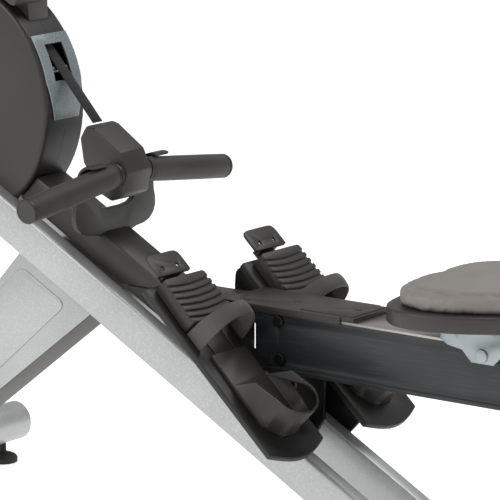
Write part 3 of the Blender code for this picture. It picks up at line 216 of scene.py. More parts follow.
def close_edit(obj: bpy.types.Object, merge: float = 0.0) -> bpy.types.Object:
    """Merges doubles if asked, turns faces outward and leaves edit mode.

    Args:
        obj: the mesh.
        merge: the distance in metres within which points are made one, or 0 for none.

    Returns:
        The object.
    """
    if bpy.context.mode == "OBJECT":
        activate(obj)
        bpy.ops.object.mode_set(mode="EDIT")
    bpy.ops.mesh.select_all(action="SELECT")
    if merge:
        bpy.ops.mesh.remove_doubles(threshold=merge)
    bpy.ops.mesh.normals_make_consistent(inside=False)
    bpy.ops.object.mode_set(mode="OBJECT")
    return obj


def modify(obj: bpy.types.Object, kind: str, **settings: object) -> bpy.types.Object:
    """Adds a modifier and applies it.

    Args:
        obj: the mesh.
        kind: the modifier's type.
        settings: its properties.

    Returns:
        The object.
    """
    activate(obj)
    modifier = obj.modifiers.new(kind.lower(), kind)
    for key, value in settings.items():
        setattr(modifier, key, value)
    bpy.ops.object.modifier_apply(modifier=modifier.name)
    return obj


def combine(obj: bpy.types.Object, tool: bpy.types.Object,
            operation: str) -> bpy.types.Object:
    """Joins or cuts a piece with another solid, which is used up.

    Args:
        obj: the piece.
        tool: the closed solid that is added or taken away.
        operation: UNION or DIFFERENCE.

    Returns:
        The piece.
    """
    modify(obj, "BOOLEAN", object=tool, operation=operation, solver="EXACT")
    activate(tool)
    bpy.ops.object.delete()
    bpy.context.view_layer.update()
    activate(obj)
    return obj


def soften(obj: bpy.types.Object, width: float, segments: int = 2,
           angle: float = 32.0) -> bpy.types.Object:
    """Rounds every edge sharper than an angle, and shades the rest smooth.

    Args:
        obj: the mesh.
        width: the rounding's width in metres.
        segments: faces across the rounding.
        angle: least angle of an edge that is rounded, in degrees.

    Returns:
        The object.
    """
    if width:
        modify(obj, "BEVEL", width=width, segments=segments, limit_method="ANGLE",
               angle_limit=math.radians(angle), use_clamp_overlap=True)
    activate(obj)
    bpy.ops.object.shade_smooth_by_angle(angle=math.radians(angle))
    return obj


def block(name: str, low: Vector, high: Vector) -> bpy.types.Object:
    """A block between two corners.

    Args:
        name: the piece's name.
        low: the lowest corner.
        high: the highest corner.

    Returns:
        The closed solid.
    """
    deselect_all()
    bpy.ops.mesh.primitive_cube_add(size=1.0, location=(low + high) / 2, scale=high - low)
    return named(name)


def prism(name: str, outline: Sequence[Vector], push: Vector,
          steps: int = 1) -> bpy.types.Object:
    """A flat outline pulled into a solid.

    Args:
        name: the piece's name.
        outline: the corners in order, in the row frame.
        push: how far and which way the outline is extruded.
        steps: rows of faces along the push.

    Returns:
        The closed solid.
    """
    deselect_all()
    bpy.ops.mesh.primitive_circle_add(vertices=len(outline), fill_type="NGON", radius=1.0)
    obj = named(name)
    for vertex, place in zip(obj.data.vertices, outline):
        vertex.co = place
    bpy.ops.object.mode_set(mode="EDIT")
    bpy.ops.mesh.select_all(action="SELECT")
    for _ in range(steps):
        bpy.ops.mesh.extrude_region_move(TRANSFORM_OT_translate={"value": push / steps})
    return close_edit(obj)


def turned(name: str, profile: Sequence[tuple[float, float]], start: Vector, end: Vector,
           sides: int) -> bpy.types.Object:
    """A round piece turned about a line.

    Args:
        name: the piece's name.
        profile: (distance along the line, radius) pairs from end to end.
        start: the point of the line at distance 0.
        end: another point of the line.
        sides: faces round the line.

    Returns:
        The closed solid.
    """
    deselect_all()
    axis = (end - start).normalized()
    across = axis.orthogonal().normalized()
    bpy.ops.mesh.primitive_circle_add(vertices=len(profile) + 1, radius=1.0)
    obj = named(name)
    places = [start + axis * along + across * max(radius, WELD) for along, radius in profile]
    places.append(start + axis * profile[-1][0])
    for vertex, place in zip(obj.data.vertices, places):
        vertex.co = place
    obj.data.vertices[0].co = start + axis * profile[0][0] + across * profile[0][1]
    obj.data.update()
    bpy.ops.object.mode_set(mode="EDIT")
    bpy.ops.mesh.select_mode(type="EDGE")
    bpy.ops.mesh.select_all(action="DESELECT")
    bpy.ops.object.mode_set(mode="OBJECT")
    last = len(profile)
    for edge in obj.data.edges:
        edge.select = set(edge.vertices) in ({0, last}, {last, last - 1})
    bpy.ops.object.mode_set(mode="EDIT")
    bpy.ops.mesh.delete(type="EDGE_FACE")
    bpy.ops.mesh.select_all(action="SELECT")
    bpy.ops.mesh.spin(steps=sides, angle=math.tau, center=start, axis=axis, use_auto_merge=True)
    bpy.ops.mesh.select_all(action="SELECT")
    bpy.ops.mesh.remove_doubles(threshold=WELD)
    bpy.ops.mesh.select_all(action="DESELECT")
    bpy.ops.mesh.select_mode(type="EDGE")
    bpy.ops.mesh.select_non_manifold()
    bpy.ops.mesh.edge_face_add()
    return close_edit(obj)


def node_copy(node: str, name: str) -> bpy.types.Object:
    """A merged copy of a frame node's mesh, with its flat faces whole again.

    Args:
        node: the frame node.
        name: the new piece's name.

    Returns:
        The copy, not yet riding on a body.
    """
    source = bpy.data.objects[node]
    obj = bpy.data.objects.new(name, source.data.copy())
    bpy.context.scene.collection.objects.link(obj)
    obj.data.name = name
    activate(obj)
    obj.data.materials.clear()
    while obj.data.attributes.get("custom_normal"):
        obj.data.attributes.remove(obj.data.attributes["custom_normal"])
    bpy.ops.object.mode_set(mode="EDIT")
    bpy.ops.mesh.select_all(action="SELECT")
    bpy.ops.mesh.remove_doubles(threshold=NODE_WELD)
    bpy.ops.mesh.dissolve_limited(angle_limit=FLAT)
    bpy.ops.object.mode_set(mode="OBJECT")
    return obj


# ---------------------------------------------------------------- finishes
def linear(colour: str) -> tuple[float, float, float, float]:
    """An sRGB hex colour as linear values.

    Args:
        colour: six hex digits after a hash.

    Returns:
        Linear red, green and blue, and an alpha of 1.
    """
    values = [int(colour[i:i + 2], 16) / 255 for i in (1, 3, 5)]
    red, green, blue = (v / 12.92 if v <= 0.04045 else ((v + 0.055) / 1.055) ** 2.4
                        for v in values)
    return red, green, blue, 1.0


def add_node(tree: bpy.types.NodeTree, kind: str, settings: dict[str, object] | None = None,
             links: dict[str, bpy.types.NodeSocket] | None = None) -> bpy.types.Node:
    """Adds one node.

    Args:
        tree: the material's tree.
        kind: the node's type name.
        settings: its properties, or its inputs where the key is an input's name.
        links: the sockets that feed its inputs, by input name.

    Returns:
        The node.
    """
    node = tree.nodes.new(kind)
    for key, value in (settings or {}).items():
        if hasattr(node, key):
            setattr(node, key, value)
        else:
            node.inputs[int(key) if key.isdigit() else key].default_value = value
    for key, socket in (links or {}).items():
        tree.links.new(socket, node.inputs[int(key) if key.isdigit() else key])
    return node


class Texture(Enum):
    """How a surface's fine relief is drawn."""

    GRAIN = "grain"          # spark-eroded or sprayed, the same in every direction
    BRUSHED = "brushed"      # long fine scratches along one axis
    WEAVE = "weave"          # warp and weft threads
    CELLS = "cells"          # closed-cell foam skin
    RIBBED = "ribbed"        # fine ribs across one axis


@dataclass(frozen=True)
class Finish:
    """One real surface: its colours, its shine, and its relief at real size.

    base and shade are the two tones that drift into each other, and the third tone paints its flecks
    and the painted highlight along its edges. Lengths ending in _mm are millimetres.
    """

    name: str
    base: str
    shade: str
    # tone of the flecks and of the painted edge highlight
    fleck_and_edge_highlight: str
    roughness: float
    spread: float = 0.08
    metallic: float = 0.0
    ior: float = 1.5
    coat: float = 0.0
    sheen: float = 0.0
    texture: Texture = Texture.GRAIN
    grain_mm: float = 0.9
    relief_mm: float = 0.03
    drift_mm: float = 90.0
    edge_mm: float = 1.2
    # strength of the painted highlight along the edges
    edge_highlight: float = 0.5
    turn: tuple[float, float, float] = (0.0, 0.0, 0.0)
    fleck: float = 0.10

    def relief(self, tree: bpy.types.NodeTree,
               place: bpy.types.NodeSocket) -> bpy.types.NodeSocket:
        """The height of the fine relief.

        Args:
            tree: the material's tree.
            place: the turned object coordinates.

        Returns:
            A socket from 0 to 1.
        """
        scale = 1000.0 / self.grain_mm
        if self.texture is Texture.WEAVE:
            band = THREADS * scale
            warp = add_node(tree, "ShaderNodeTexWave", {"bands_direction": "X", "Scale": band},
                            {"Vector": place})
            weft = add_node(tree, "ShaderNodeTexWave", {"bands_direction": "Y", "Scale": band},
                            {"Vector": place})
            return add_node(tree, "ShaderNodeMath", {"operation": "MULTIPLY"},
                            {"0": warp.outputs["Fac"], "1": weft.outputs["Fac"]}).outputs[0]
        if self.texture is Texture.RIBBED:
            ribs = add_node(tree, "ShaderNodeTexWave", {
                "bands_direction": "X", "Scale": THREADS * scale, "Distortion": 0.3}, {"Vector": place})
            return ribs.outputs["Fac"]
        if self.texture is Texture.CELLS:
            return add_node(tree, "ShaderNodeTexVoronoi", {"feature": "SMOOTH_F1", "Scale": scale},
                            {"Vector": place}).outputs["Distance"]
        if self.texture is Texture.BRUSHED:
            long = add_node(tree, "ShaderNodeMapping", {"Scale": (0.02, 1.0, 1.0)}, {"Vector": place})
            place = long.outputs["Vector"]
        noise = add_node(tree, "ShaderNodeTexNoise", {"Scale": scale, "Detail": 3.0}, {"Vector": place})
        return noise.outputs["Fac"]

    def material(self) -> bpy.types.Material:
        """Builds the material once.

        Returns:
            The material of this finish's name.
        """
        found = bpy.data.materials.get(self.name)
        if found:
            return found
        made = bpy.data.materials.new(self.name)
        made.use_nodes = True
        tree = made.node_tree
        shader = tree.nodes["Principled BSDF"]
        where = add_node(tree, "ShaderNodeTexCoord")
        turn = add_node(tree, "ShaderNodeMapping", {"Rotation": self.turn},
                        {"Vector": where.outputs["Object"]})
        place = turn.outputs["Vector"]
        fine = self.relief(tree, place)
        drift = add_node(tree, "ShaderNodeTexNoise", {"Scale": 1000.0 / self.drift_mm, "Detail": 4.0},
                         {"Vector": place})
        patch = add_node(tree, "ShaderNodeMapRange", {
            "From Min": DRIFT_BAND[0], "From Max": DRIFT_BAND[1]}, {"Value": drift.outputs["Fac"]})
        tint = add_node(tree, "ShaderNodeMix", {
            "data_type": "RGBA", "6": linear(self.base), "7": linear(self.shade)},
            {"0": patch.outputs["Result"]})
        fleck = add_node(tree, "ShaderNodeMapRange", {
            "From Min": FLECK_BAND[0], "From Max": FLECK_BAND[1], "To Max": self.fleck},
            {"Value": fine})
        body = add_node(tree, "ShaderNodeMix", {"data_type": "RGBA", "7": linear(self.fleck_and_edge_highlight)},
                        {"0": fleck.outputs["Result"], "6": tint.outputs[2]})
        # Painted highlight along every edge, in the paler tone: the rounded normal leaves the flat one only
        # next to an edge.
        edge = add_node(tree, "ShaderNodeBevel", {"samples": 4, "Radius": self.edge_mm / 1000.0})
        flat = add_node(tree, "ShaderNodeNewGeometry")
        turned_off = add_node(tree, "ShaderNodeVectorMath", {"operation": "DOT_PRODUCT"},
                              {"0": edge.outputs["Normal"], "1": flat.outputs["Normal"]})
        edge_highlight_mask = add_node(tree, "ShaderNodeMapRange", {
            "From Min": EDGE_HIGHLIGHT_BAND[0], "From Max": EDGE_HIGHLIGHT_BAND[1], "To Max": self.edge_highlight},
            {"Value": turned_off.outputs["Value"]})
        patchy_edge_highlight = add_node(tree, "ShaderNodeMath", {"operation": "MULTIPLY"},
                          {"0": edge_highlight_mask.outputs["Result"], "1": drift.outputs["Fac"]})
        colour = add_node(tree, "ShaderNodeMix", {"data_type": "RGBA", "7": linear(self.fleck_and_edge_highlight)},
                          {"0": patchy_edge_highlight.outputs[0], "6": body.outputs[2]})
        rough = add_node(tree, "ShaderNodeMapRange", {
            "To Min": max(self.roughness - self.spread, 0.03), "To Max": self.roughness + self.spread},
            {"Value": fine})
        bump = add_node(tree, "ShaderNodeBump", {
            "Strength": BUMP_STRENGTH, "Distance": self.relief_mm / 1000.0},
            {"Height": fine, "Normal": edge.outputs["Normal"]})
        tree.links.new(colour.outputs[2], shader.inputs["Base Color"])
        tree.links.new(rough.outputs["Result"], shader.inputs["Roughness"])
        tree.links.new(bump.outputs["Normal"], shader.inputs["Normal"])
        shader.inputs["Metallic"].default_value = self.metallic
        if not self.metallic:
            shader.inputs["IOR"].default_value = self.ior
        shader.inputs["Coat Weight"].default_value = self.coat
        shader.inputs["Coat Roughness"].default_value = COAT_ROUGHNESS
        shader.inputs["Sheen Weight"].default_value = self.sheen
        shader.inputs["Sheen Roughness"].default_value = SHEEN_ROUGHNESS
        return made


# Steel tube under a silver powder coat: pale, a little flaky, with a soft orange peel and a bright painted
# highlight along its edges.
SILVER = Finish("silver_powder_coat", "#b4b5b5", "#acadad", "#f0f0f0", 0.36, metallic=0.45, coat=0.2,
                grain_mm=2.2, relief_mm=0.02, drift_mm=160, edge_mm=1.6, edge_highlight=0.9, fleck=0.30)
# The same tube's paint in dark grey on the rear support; on the front leg's rear-facing faces it is painted
# shade.
GREY_PAINT_AND_LEG_SHADE = Finish("dark_grey_coat_and_leg_shade", "#383634", "#302e2c", "#66625f", 0.46, grain_mm=1.2,
                    relief_mm=0.04)
# Injection-moulded ABS with a spark-eroded grain: warm charcoal, with a painted highlight along its edges.
ABS = Finish("charcoal_abs", "#2f2c2a", "#292725", "#6b6763", 0.40, grain_mm=0.8, relief_mm=0.035,
             drift_mm=120)
# Black ABS; on the housing covers' rims it is painted shade.
ABS_DARK_AND_RIM_SHADE = Finish("black_abs_and_rim_shade", "#1a1918", "#151413", "#45423f", 0.42, grain_mm=0.8, relief_mm=0.03)
# Glossier moulding in blue-grey, with a strong painted highlight along its edges.
TRIM = Finish("blue_grey_abs", "#808b8e", "#767f82", "#c9d0d2", 0.27, coat=0.3, grain_mm=2.0, relief_mm=0.01,
              drift_mm=60, edge_mm=1.8, edge_highlight=1.0)
# Nitrile foam sleeve: closed cells, matt, slightly dusty.
FOAM = Finish("nitrile_foam", "#34312e", "#2d2a28", "#5a5652", 0.62, sheen=0.12, texture=Texture.CELLS,
              grain_mm=1.4, relief_mm=0.12, drift_mm=40)
RUBBER = Finish("moulded_rubber", "#211f1e", "#1b1a19", "#454240", 0.70, texture=Texture.GRAIN, grain_mm=1.0,
                relief_mm=0.06)
# Extruded aluminium, black anodised: drawn along its length, so its shine is streaked.
ANODISED = Finish("black_anodised_aluminium", "#353637", "#2a2c2e", "#8d8f90", 0.36, metallic=0.35,
                  texture=Texture.BRUSHED, grain_mm=1.4, relief_mm=0.008, drift_mm=300, edge_mm=1.0)
STAINLESS = Finish("brushed_stainless", "#bdb9b3", "#aeaaa4", "#efece8", 0.30, metallic=0.9,
                   texture=Texture.BRUSHED, grain_mm=1.0, relief_mm=0.006, drift_mm=200, edge_mm=0.8,
                   edge_highlight=0.9)
DARK_STEEL = Finish("blackened_steel", "#1b1a19", "#141312", "#55524e", 0.40, metallic=0.6, grain_mm=1.2,
                    relief_mm=0.03)
STEEL = Finish("zinc_plated_steel", "#a9a8a5", "#8f8e8b", "#d8d7d4", 0.30, metallic=1.0, grain_mm=1.0,
               relief_mm=0.01)
ALUMINIUM = Finish("sheet_aluminium", "#a9b0b3", "#9ba3a6", "#d5dadc", 0.36, metallic=0.7,
                   texture=Texture.BRUSHED, grain_mm=1.0, relief_mm=0.006, drift_mm=60)
# Seat's moulded foam skin: matt, with a leather-like fine grain.
SEAT_SKIN = Finish("integral_skin_foam", "#8c8681", "#837d78", "#a49f99", 0.55, sheen=0.1,
                   texture=Texture.CELLS, grain_mm=1.8, relief_mm=0.05, drift_mm=110)
SEAT_SHELL = Finish("seat_shell_polypropylene", "#3a3632", "#332f2b", "#6d6964", 0.42, grain_mm=0.9,
                    relief_mm=0.03)
# Threads are about 0.5 mm on such webbing; they are drawn at 1.5 mm so that they show.
STRAP_FALL = STRAP_START - STRAP_END
STRAP_TURN = (0.0, math.atan2(STRAP_FALL.z, -STRAP_FALL.x), 0.0)
WEBBING = Finish("nylon_webbing", "#151414", "#0b0b0b", "#2e2d2c", 0.78, sheen=0.2, texture=Texture.WEAVE,
                 grain_mm=1.5, relief_mm=0.25, drift_mm=30, turn=STRAP_TURN)
STRAP_FABRIC = Finish("foot_strap_webbing", "#4c4844", "#423f3b", "#6f6a65", 0.66, sheen=0.2,
                      texture=Texture.WEAVE, grain_mm=1.6, relief_mm=0.2, drift_mm=40,
                      turn=(0.0, -PEDAL_ANGLE, 0.0))
BELT = Finish("ribbed_belt_rubber", "#1d1c1b", "#151414", "#393836", 0.62, texture=Texture.RIBBED,
              grain_mm=2.4, relief_mm=0.3)
GLASS = Finish("display_window", "#15181a", "#111416", "#2c3134", 0.10, spread=0.03, coat=0.6, grain_mm=3.0,
               relief_mm=0.002, drift_mm=80, edge_highlight=0.2)


def dress(obj: bpy.types.Object, finish: Finish) -> None:
    """Gives an object one finish in every slot.

    Args:
        obj: a frame node or a piece.
        finish: its finish.
    """
    if not obj.material_slots:
        obj.data.materials.append(finish.material())
    for item in obj.material_slots:
        item.link = "OBJECT" if "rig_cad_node" in obj else "DATA"
        item.material = finish.material()


def settle(obj: bpy.types.Object, body: str, finish: Finish,
           replaces: Iterable[str] = ()) -> None:
    """Dresses a finished piece and puts it on its body.

    Args:
        obj: the piece.
        body: the body it rides on.
        finish: its finish.
        replaces: the frame nodes it stands for.
    """
    dress(obj, finish)
    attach(obj, body)
    if replaces:
        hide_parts(*replaces)
    LOG.info("%s on %s", obj.name, body)


def dress_faces(obj: bpy.types.Object, finish: Finish,
                test: Callable[[Vector, Vector], bool]) -> None:
    """Gives some faces of a dressed piece a second finish.

    Args:
        obj: the piece.
        finish: the second finish.
        test: takes a face's middle and its normal and says whether it gets that finish.
    """
    obj.data.materials.append(finish.material())
    second = len(obj.data.materials) - 1
    for face in obj.data.polygons:
        if test(face.center, face.normal):
            face.material_index = second


@dataclass(frozen=True)
class Refined:
    """A frame node remade with rounded edges."""

    node: str
    body: str
    slot: str
    finish: Finish
    width: float = 0.0012
    segments: int = 2
    angle: float = 32.0

    def build(self) -> bpy.types.Object:
        """Models, dresses and places the copy.

        Returns:
            The new piece.
        """
        obj = node_copy(self.node, self.node + "_finished")
        soften(obj, self.width, self.segments, self.angle)
        settle(obj, self.body, self.finish, [self.node])
        return obj


# ---------------------------------------------------------------- the beam
@dataclass
class Beam:
    """Twin-tube beam, front leg, stabilisers, feet and transport wheels."""

    tube_round: float = 0.0035
    leg_round: float = 0.0045
    leg_half: float = 0.0397
    panel_rise: float = 0.0016
    panel_round: float = 0.016
    panel: tuple[tuple[float, float], ...] = (
        (-0.482, 0.004), (-0.392, -0.045), (-0.690, -0.306), (-0.733, -0.262))

    def build(self) -> None:
        """Builds and dresses the beam's pieces."""
        for label, _ in SIDES:
            Refined("beam_tube_" + label, "frame", "silver_paint", SILVER,
                    self.tube_round, 4).build()
            Refined("foot_front_" + label, "frame", "rubber", RUBBER, 0.0016).build()
            Refined("foot_middle_" + label, "frame", "rubber", RUBBER, 0.0016).build()
        leg = Refined("front_leg", "frame", "silver_paint", SILVER, self.leg_round, 4).build()
        # The leg's rear-facing faces take the dark grey: painted shade on the leg's back.
        dress_faces(leg, GREY_PAINT_AND_LEG_SHADE, lambda place, normal: normal.x > 0.35 and abs(normal.y) < 0.5)
        self.leg_panels()
        Refined("front_stabiliser", "frame", "silver_paint", SILVER, 0.0015, angle=40).build()
        Refined("middle_stabiliser", "frame", "silver_paint", SILVER, 0.0015, angle=40).build()
        Refined("beam_cover", "frame", "dark_plastic", ABS, 0.0030, 3).build()
        Refined("gusset_fairing", "frame", "dark_plastic", ABS, 0.0040, 3).build()

    def leg_panels(self) -> None:
        """Pressed panel on each face of the front leg, with a wide round at every corner."""
        for label, side in SIDES:
            face = side * self.leg_half
            corners = [at(x, face, z) for x, z in self.panel]
            panel = prism("leg_panel_" + label, corners, Vector((0.0, side * self.panel_rise, 0.0)))
            half_way = face + side * self.panel_rise / 2
            select(panel, Part.EDGE, lambda place, y=half_way: abs(place.y - y) < WELD)
            bpy.ops.mesh.bevel(offset=self.panel_round, segments=8, affect="EDGES", clamp_overlap=True)
            bpy.ops.object.mode_set(mode="OBJECT")
            soften(panel, self.panel_rise * 0.45, 2)
            settle(panel, "frame", SILVER)


# ---------------------------------------------------------------- the flywheel housing
@dataclass
class Housing:
    """Drum housing: two rounded covers, the slot's trim and the inner works."""

    centre: Vector
    radius: float = 0.188
    edge_round: float = 0.020
    rim_band: float = 0.003
    flat_band: float = 0.0005

    def build(self) -> None:
        """Builds the covers and the trim."""
        for label, side in SIDES:
            self.cover(label, side)
        Refined("slot_trim", "frame", "trim_plastic", TRIM, 0.0009, 3).build()

    def cover(self, label: str, side: int) -> None:
        """One cover with a wide round edge between its face and its rim; the rim band is painted darker, as
        painted shade.

        Args:
            label: left or right.
            side: -1 for left, 1 for right.
        """
        obj = node_copy("housing_cover_" + label, "housing_cover_" + label + "_finished")
        low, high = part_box("housing_cover_" + label)
        face_y = low.y if side < 0 else high.y
        middle = self.centre

        def on_rim(place: Vector) -> bool:
            """True for the edge between the outer face and the rim."""
            reach = math.hypot(place.x - middle.x, place.z - middle.z)
            return abs(place.y - face_y) < self.flat_band and reach > self.radius - self.rim_band

        select(obj, Part.EDGE, on_rim)
        bpy.ops.mesh.bevel(offset=self.edge_round, segments=8, profile=0.5, clamp_overlap=True)
        bpy.ops.object.mode_set(mode="OBJECT")
        soften(obj, 0.0)
        settle(obj, "frame", ABS, ["housing_cover_" + label])
        # The rim band round the drum takes the black moulding: painted shade for the shadowed band.
        dress_faces(obj, ABS_DARK_AND_RIM_SHADE, lambda place, normal: abs(normal.y) < 0.12)


# ---------------------------------------------------------------- the handle
@dataclass
class Handle:
    """Handle body, two foam grips with collars and end caps, and the drive strap."""

    grip_r: float = 0.019
    body_round: float = 0.0030
    cap_t: float = 0.006
    sides: int = 64

    def build(self) -> None:
        """Builds the handle's pieces."""
        body = node_copy("handle_body", "handle_body_finished")
        soften(body, self.body_round, 4, 25)
        settle(body, "handle", ABS, ["handle_body"])
        for label, side in SIDES:
            self.grip(label, side)
        self.strap()

    def grip(self, label: str, side: int) -> None:
        """One foam grip with its collar, shoulder and rounded end cap.

        Args:
            label: left or right.
            side: -1 for left, 1 for right.
        """
        low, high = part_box("grip_" + label)
        x = (low.x + high.x) / 2
        inner_y, outer_y = (high.y, low.y) if side < 0 else (low.y, high.y)
        start = Vector((x, inner_y, high.z - self.grip_r))
        end = Vector((x, outer_y, low.z + self.grip_r))
        length = (end - start).length
        r = self.grip_r
        foam = turned("grip_foam_" + label, [
            (0.012, r * 0.80), (0.012, r * 0.955), (0.0145, r * 0.99), (0.030, r * 0.985),
            (length * 0.4, r), (length * 0.75, r), (length - self.cap_t - 0.0030, r * 0.99),
            (length - self.cap_t - 0.0008, r * 0.955), (length - self.cap_t - 0.0008, r * 0.8)],
            start, end, self.sides)
        soften(foam, 0.0)
        settle(foam, "handle", FOAM, ["grip_" + label])
        collar = turned("grip_collar_" + label, [
            (-0.0035, r * 0.7), (-0.0035, r * 0.97), (-0.002, r), (0.004, r), (0.0055, r * 0.97),
            (0.006, r * 0.86), (0.0085, r * 0.86), (0.0092, r * 0.97), (0.0112, r * 0.97), (0.012, r * 0.9),
            (0.012, r * 0.6)], start, end, self.sides)
        soften(collar, 0.0)
        settle(collar, "handle", ABS)
        cap = turned("grip_end_cap_" + label, [
            (length - self.cap_t, r * 0.5), (length - self.cap_t, r * 0.985), (length - 0.0030, r * 0.985),
            (length - 0.0012, r * 0.95), (length - 0.0003, r * 0.86), (length - 0.0003, r * 0.80),
            (length - 0.0010, r * 0.78), (length - 0.0010, r * 0.3)], start, end, self.sides)
        soften(cap, 0.0)
        settle(cap, "handle", ABS)

    def strap(self) -> None:
        """The woven strap between the housing's slot and the handle, its edges rounded."""
        strap = node_copy("drive_strap", "drive_strap_woven")
        soften(strap, 0.0005, 2)
        dress(strap, WEBBING)
        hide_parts("drive_strap")
        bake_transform(strap)
        LOG.info("drive strap between frame and handle")


# ---------------------------------------------------------------- the rail
@dataclass
class Rail:
    """Seat rail, its stainless track, the cover plate and the rear support."""

    plate_top: float = 0.006
    slots: tuple[tuple[float, float], ...] = ((-0.058, -0.030), (-0.058, 0.030), (0.012, 0.0), (0.119, 0.0))
    slot_size: tuple[float, float] = (0.013, 0.0042)
    slot_depth: float = 0.0025
    insert: tuple[float, float, float] = (0.046, 0.139, 0.041)
    insert_rise: float = 0.0012

    def build(self) -> None:
        """Builds and dresses the rail's pieces."""
        Refined("seat_rail", "rail", "dark_anodised", ANODISED, 0.0010).build()
        Refined("rail_track", "rail", "stainless_track", STAINLESS, 0.0006).build()
        self.cover_plate()
        Refined("rail_end_cap", "rail", "dark_plastic", ABS, 0.0014).build()
        Refined("rear_leg", "rail", "grey_paint", GREY_PAINT_AND_LEG_SHADE, 0.0020, 3).build()
        for label, _ in SIDES:
            Refined("foot_rear_" + label, "rail", "rubber", RUBBER, 0.0014).build()

    def cover_plate(self) -> None:
        """Cover plate with a raised rear panel and four narrow slots pressed into its top."""
        plate = node_copy("rail_cover_plate", "rail_cover_plate_finished")
        long, wide = self.slot_size
        for number, (x, y) in enumerate(self.slots):
            low = at(x - long / 2, y - wide / 2, self.plate_top - self.slot_depth)
            cutter = block(f"plate_slot_{number}", low,
                           at(x + long / 2, y + wide / 2, self.plate_top + 0.01))
            soften(cutter, wide * 0.30, 3)
            combine(plate, cutter, "DIFFERENCE")
        soften(plate, 0.0012, 3)
        settle(plate, "rail", ABS, ["rail_cover_plate"])
        first, last, half = self.insert
        panel = block("rail_cover_panel", at(first, -half, self.plate_top - 0.0005),
                      at(last, half, self.plate_top + self.insert_rise))
        for x, y in self.slots:
            if first < x < last:
                cutter = block("panel_slot", at(x - long / 2, y - wide / 2, self.plate_top - 0.001),
                               at(x + long / 2, y + wide / 2, self.plate_top + 0.01))
                combine(panel, cutter, "DIFFERENCE")
        soften(panel, 0.0007, 3)
        settle(panel, "rail", ABS)


# ---------------------------------------------------------------- the foot plates
@dataclass
class Pedals:
    """Foot plates with toe blocks, straps and sliding heel cups."""

    strap_s: tuple[float, float] = (0.089, 0.121)
    strap_half: float = 0.0505
    strap_rise: float = 0.072
    strap_t: float = 0.003
    clearance: float = 0.0006
    edge_droop: float = 0.0030
    edge_flare: float = 0.004
    steps: int = 36
    rows: int = 10

    def build(self) -> None:
        """Builds both foot plates."""
        for label, side in SIDES:
            Refined("pedal_base_" + label, "frame", "dark_plastic", ABS_DARK_AND_RIM_SHADE, 0.0022, 3).build()
            Refined("toe_block_" + label, "frame", "dark_plastic", ABS, 0.0016, 3, 25).build()
            Refined("heel_slider_" + label, "heel_slider_" + label, "dark_plastic", ABS,
                    0.0010, 2).build()
            Refined("pedal_bracket_" + label, "frame", "dark_steel", DARK_STEEL, 0.0010).build()
            self.strap(label, side)

    def strap(self, label: str, side: int) -> None:
        """One foot strap: a soft webbing arch with thick hems.

        Args:
            label: left or right.
            side: -1 for left, 1 for right.
        """
        first, last = self.strap_s
        inner, outer = [], []
        for i in range(self.steps + 1):
            angle = math.pi * i / self.steps
            for ring, grow in ((outer, 0.0), (inner, self.strap_t)):
                wide, tall = self.strap_half - grow, self.strap_rise - grow
                across = wide * math.copysign(abs(math.cos(angle)) ** 0.82, math.cos(angle))
                above = self.clearance + (tall - self.clearance) * math.sin(angle) ** 0.9
                ring.append(on_pedal(side, first, across, above))
        obj = prism("foot_strap_woven_" + label, outer + inner[::-1], PEDAL_DOWN * (last - first),
                    self.rows)
        origin = on_pedal(side, 0.0, 0.0, 0.0)
        for vertex in obj.data.vertices:
            offset = vertex.co - origin
            along = offset.dot(PEDAL_DOWN)
            above = offset.dot(PEDAL_UP)
            part = 2 * (along - first) / (last - first) - 1
            lift = above / self.strap_rise
            vertex.co += PEDAL_UP * (-self.edge_droop * lift * part * part)
            vertex.co -= PEDAL_DOWN * (self.edge_flare * lift * lift * part)
        soften(obj, 0.0009, 3, 50)
        settle(obj, "frame", STRAP_FABRIC, ["foot_strap_" + label])


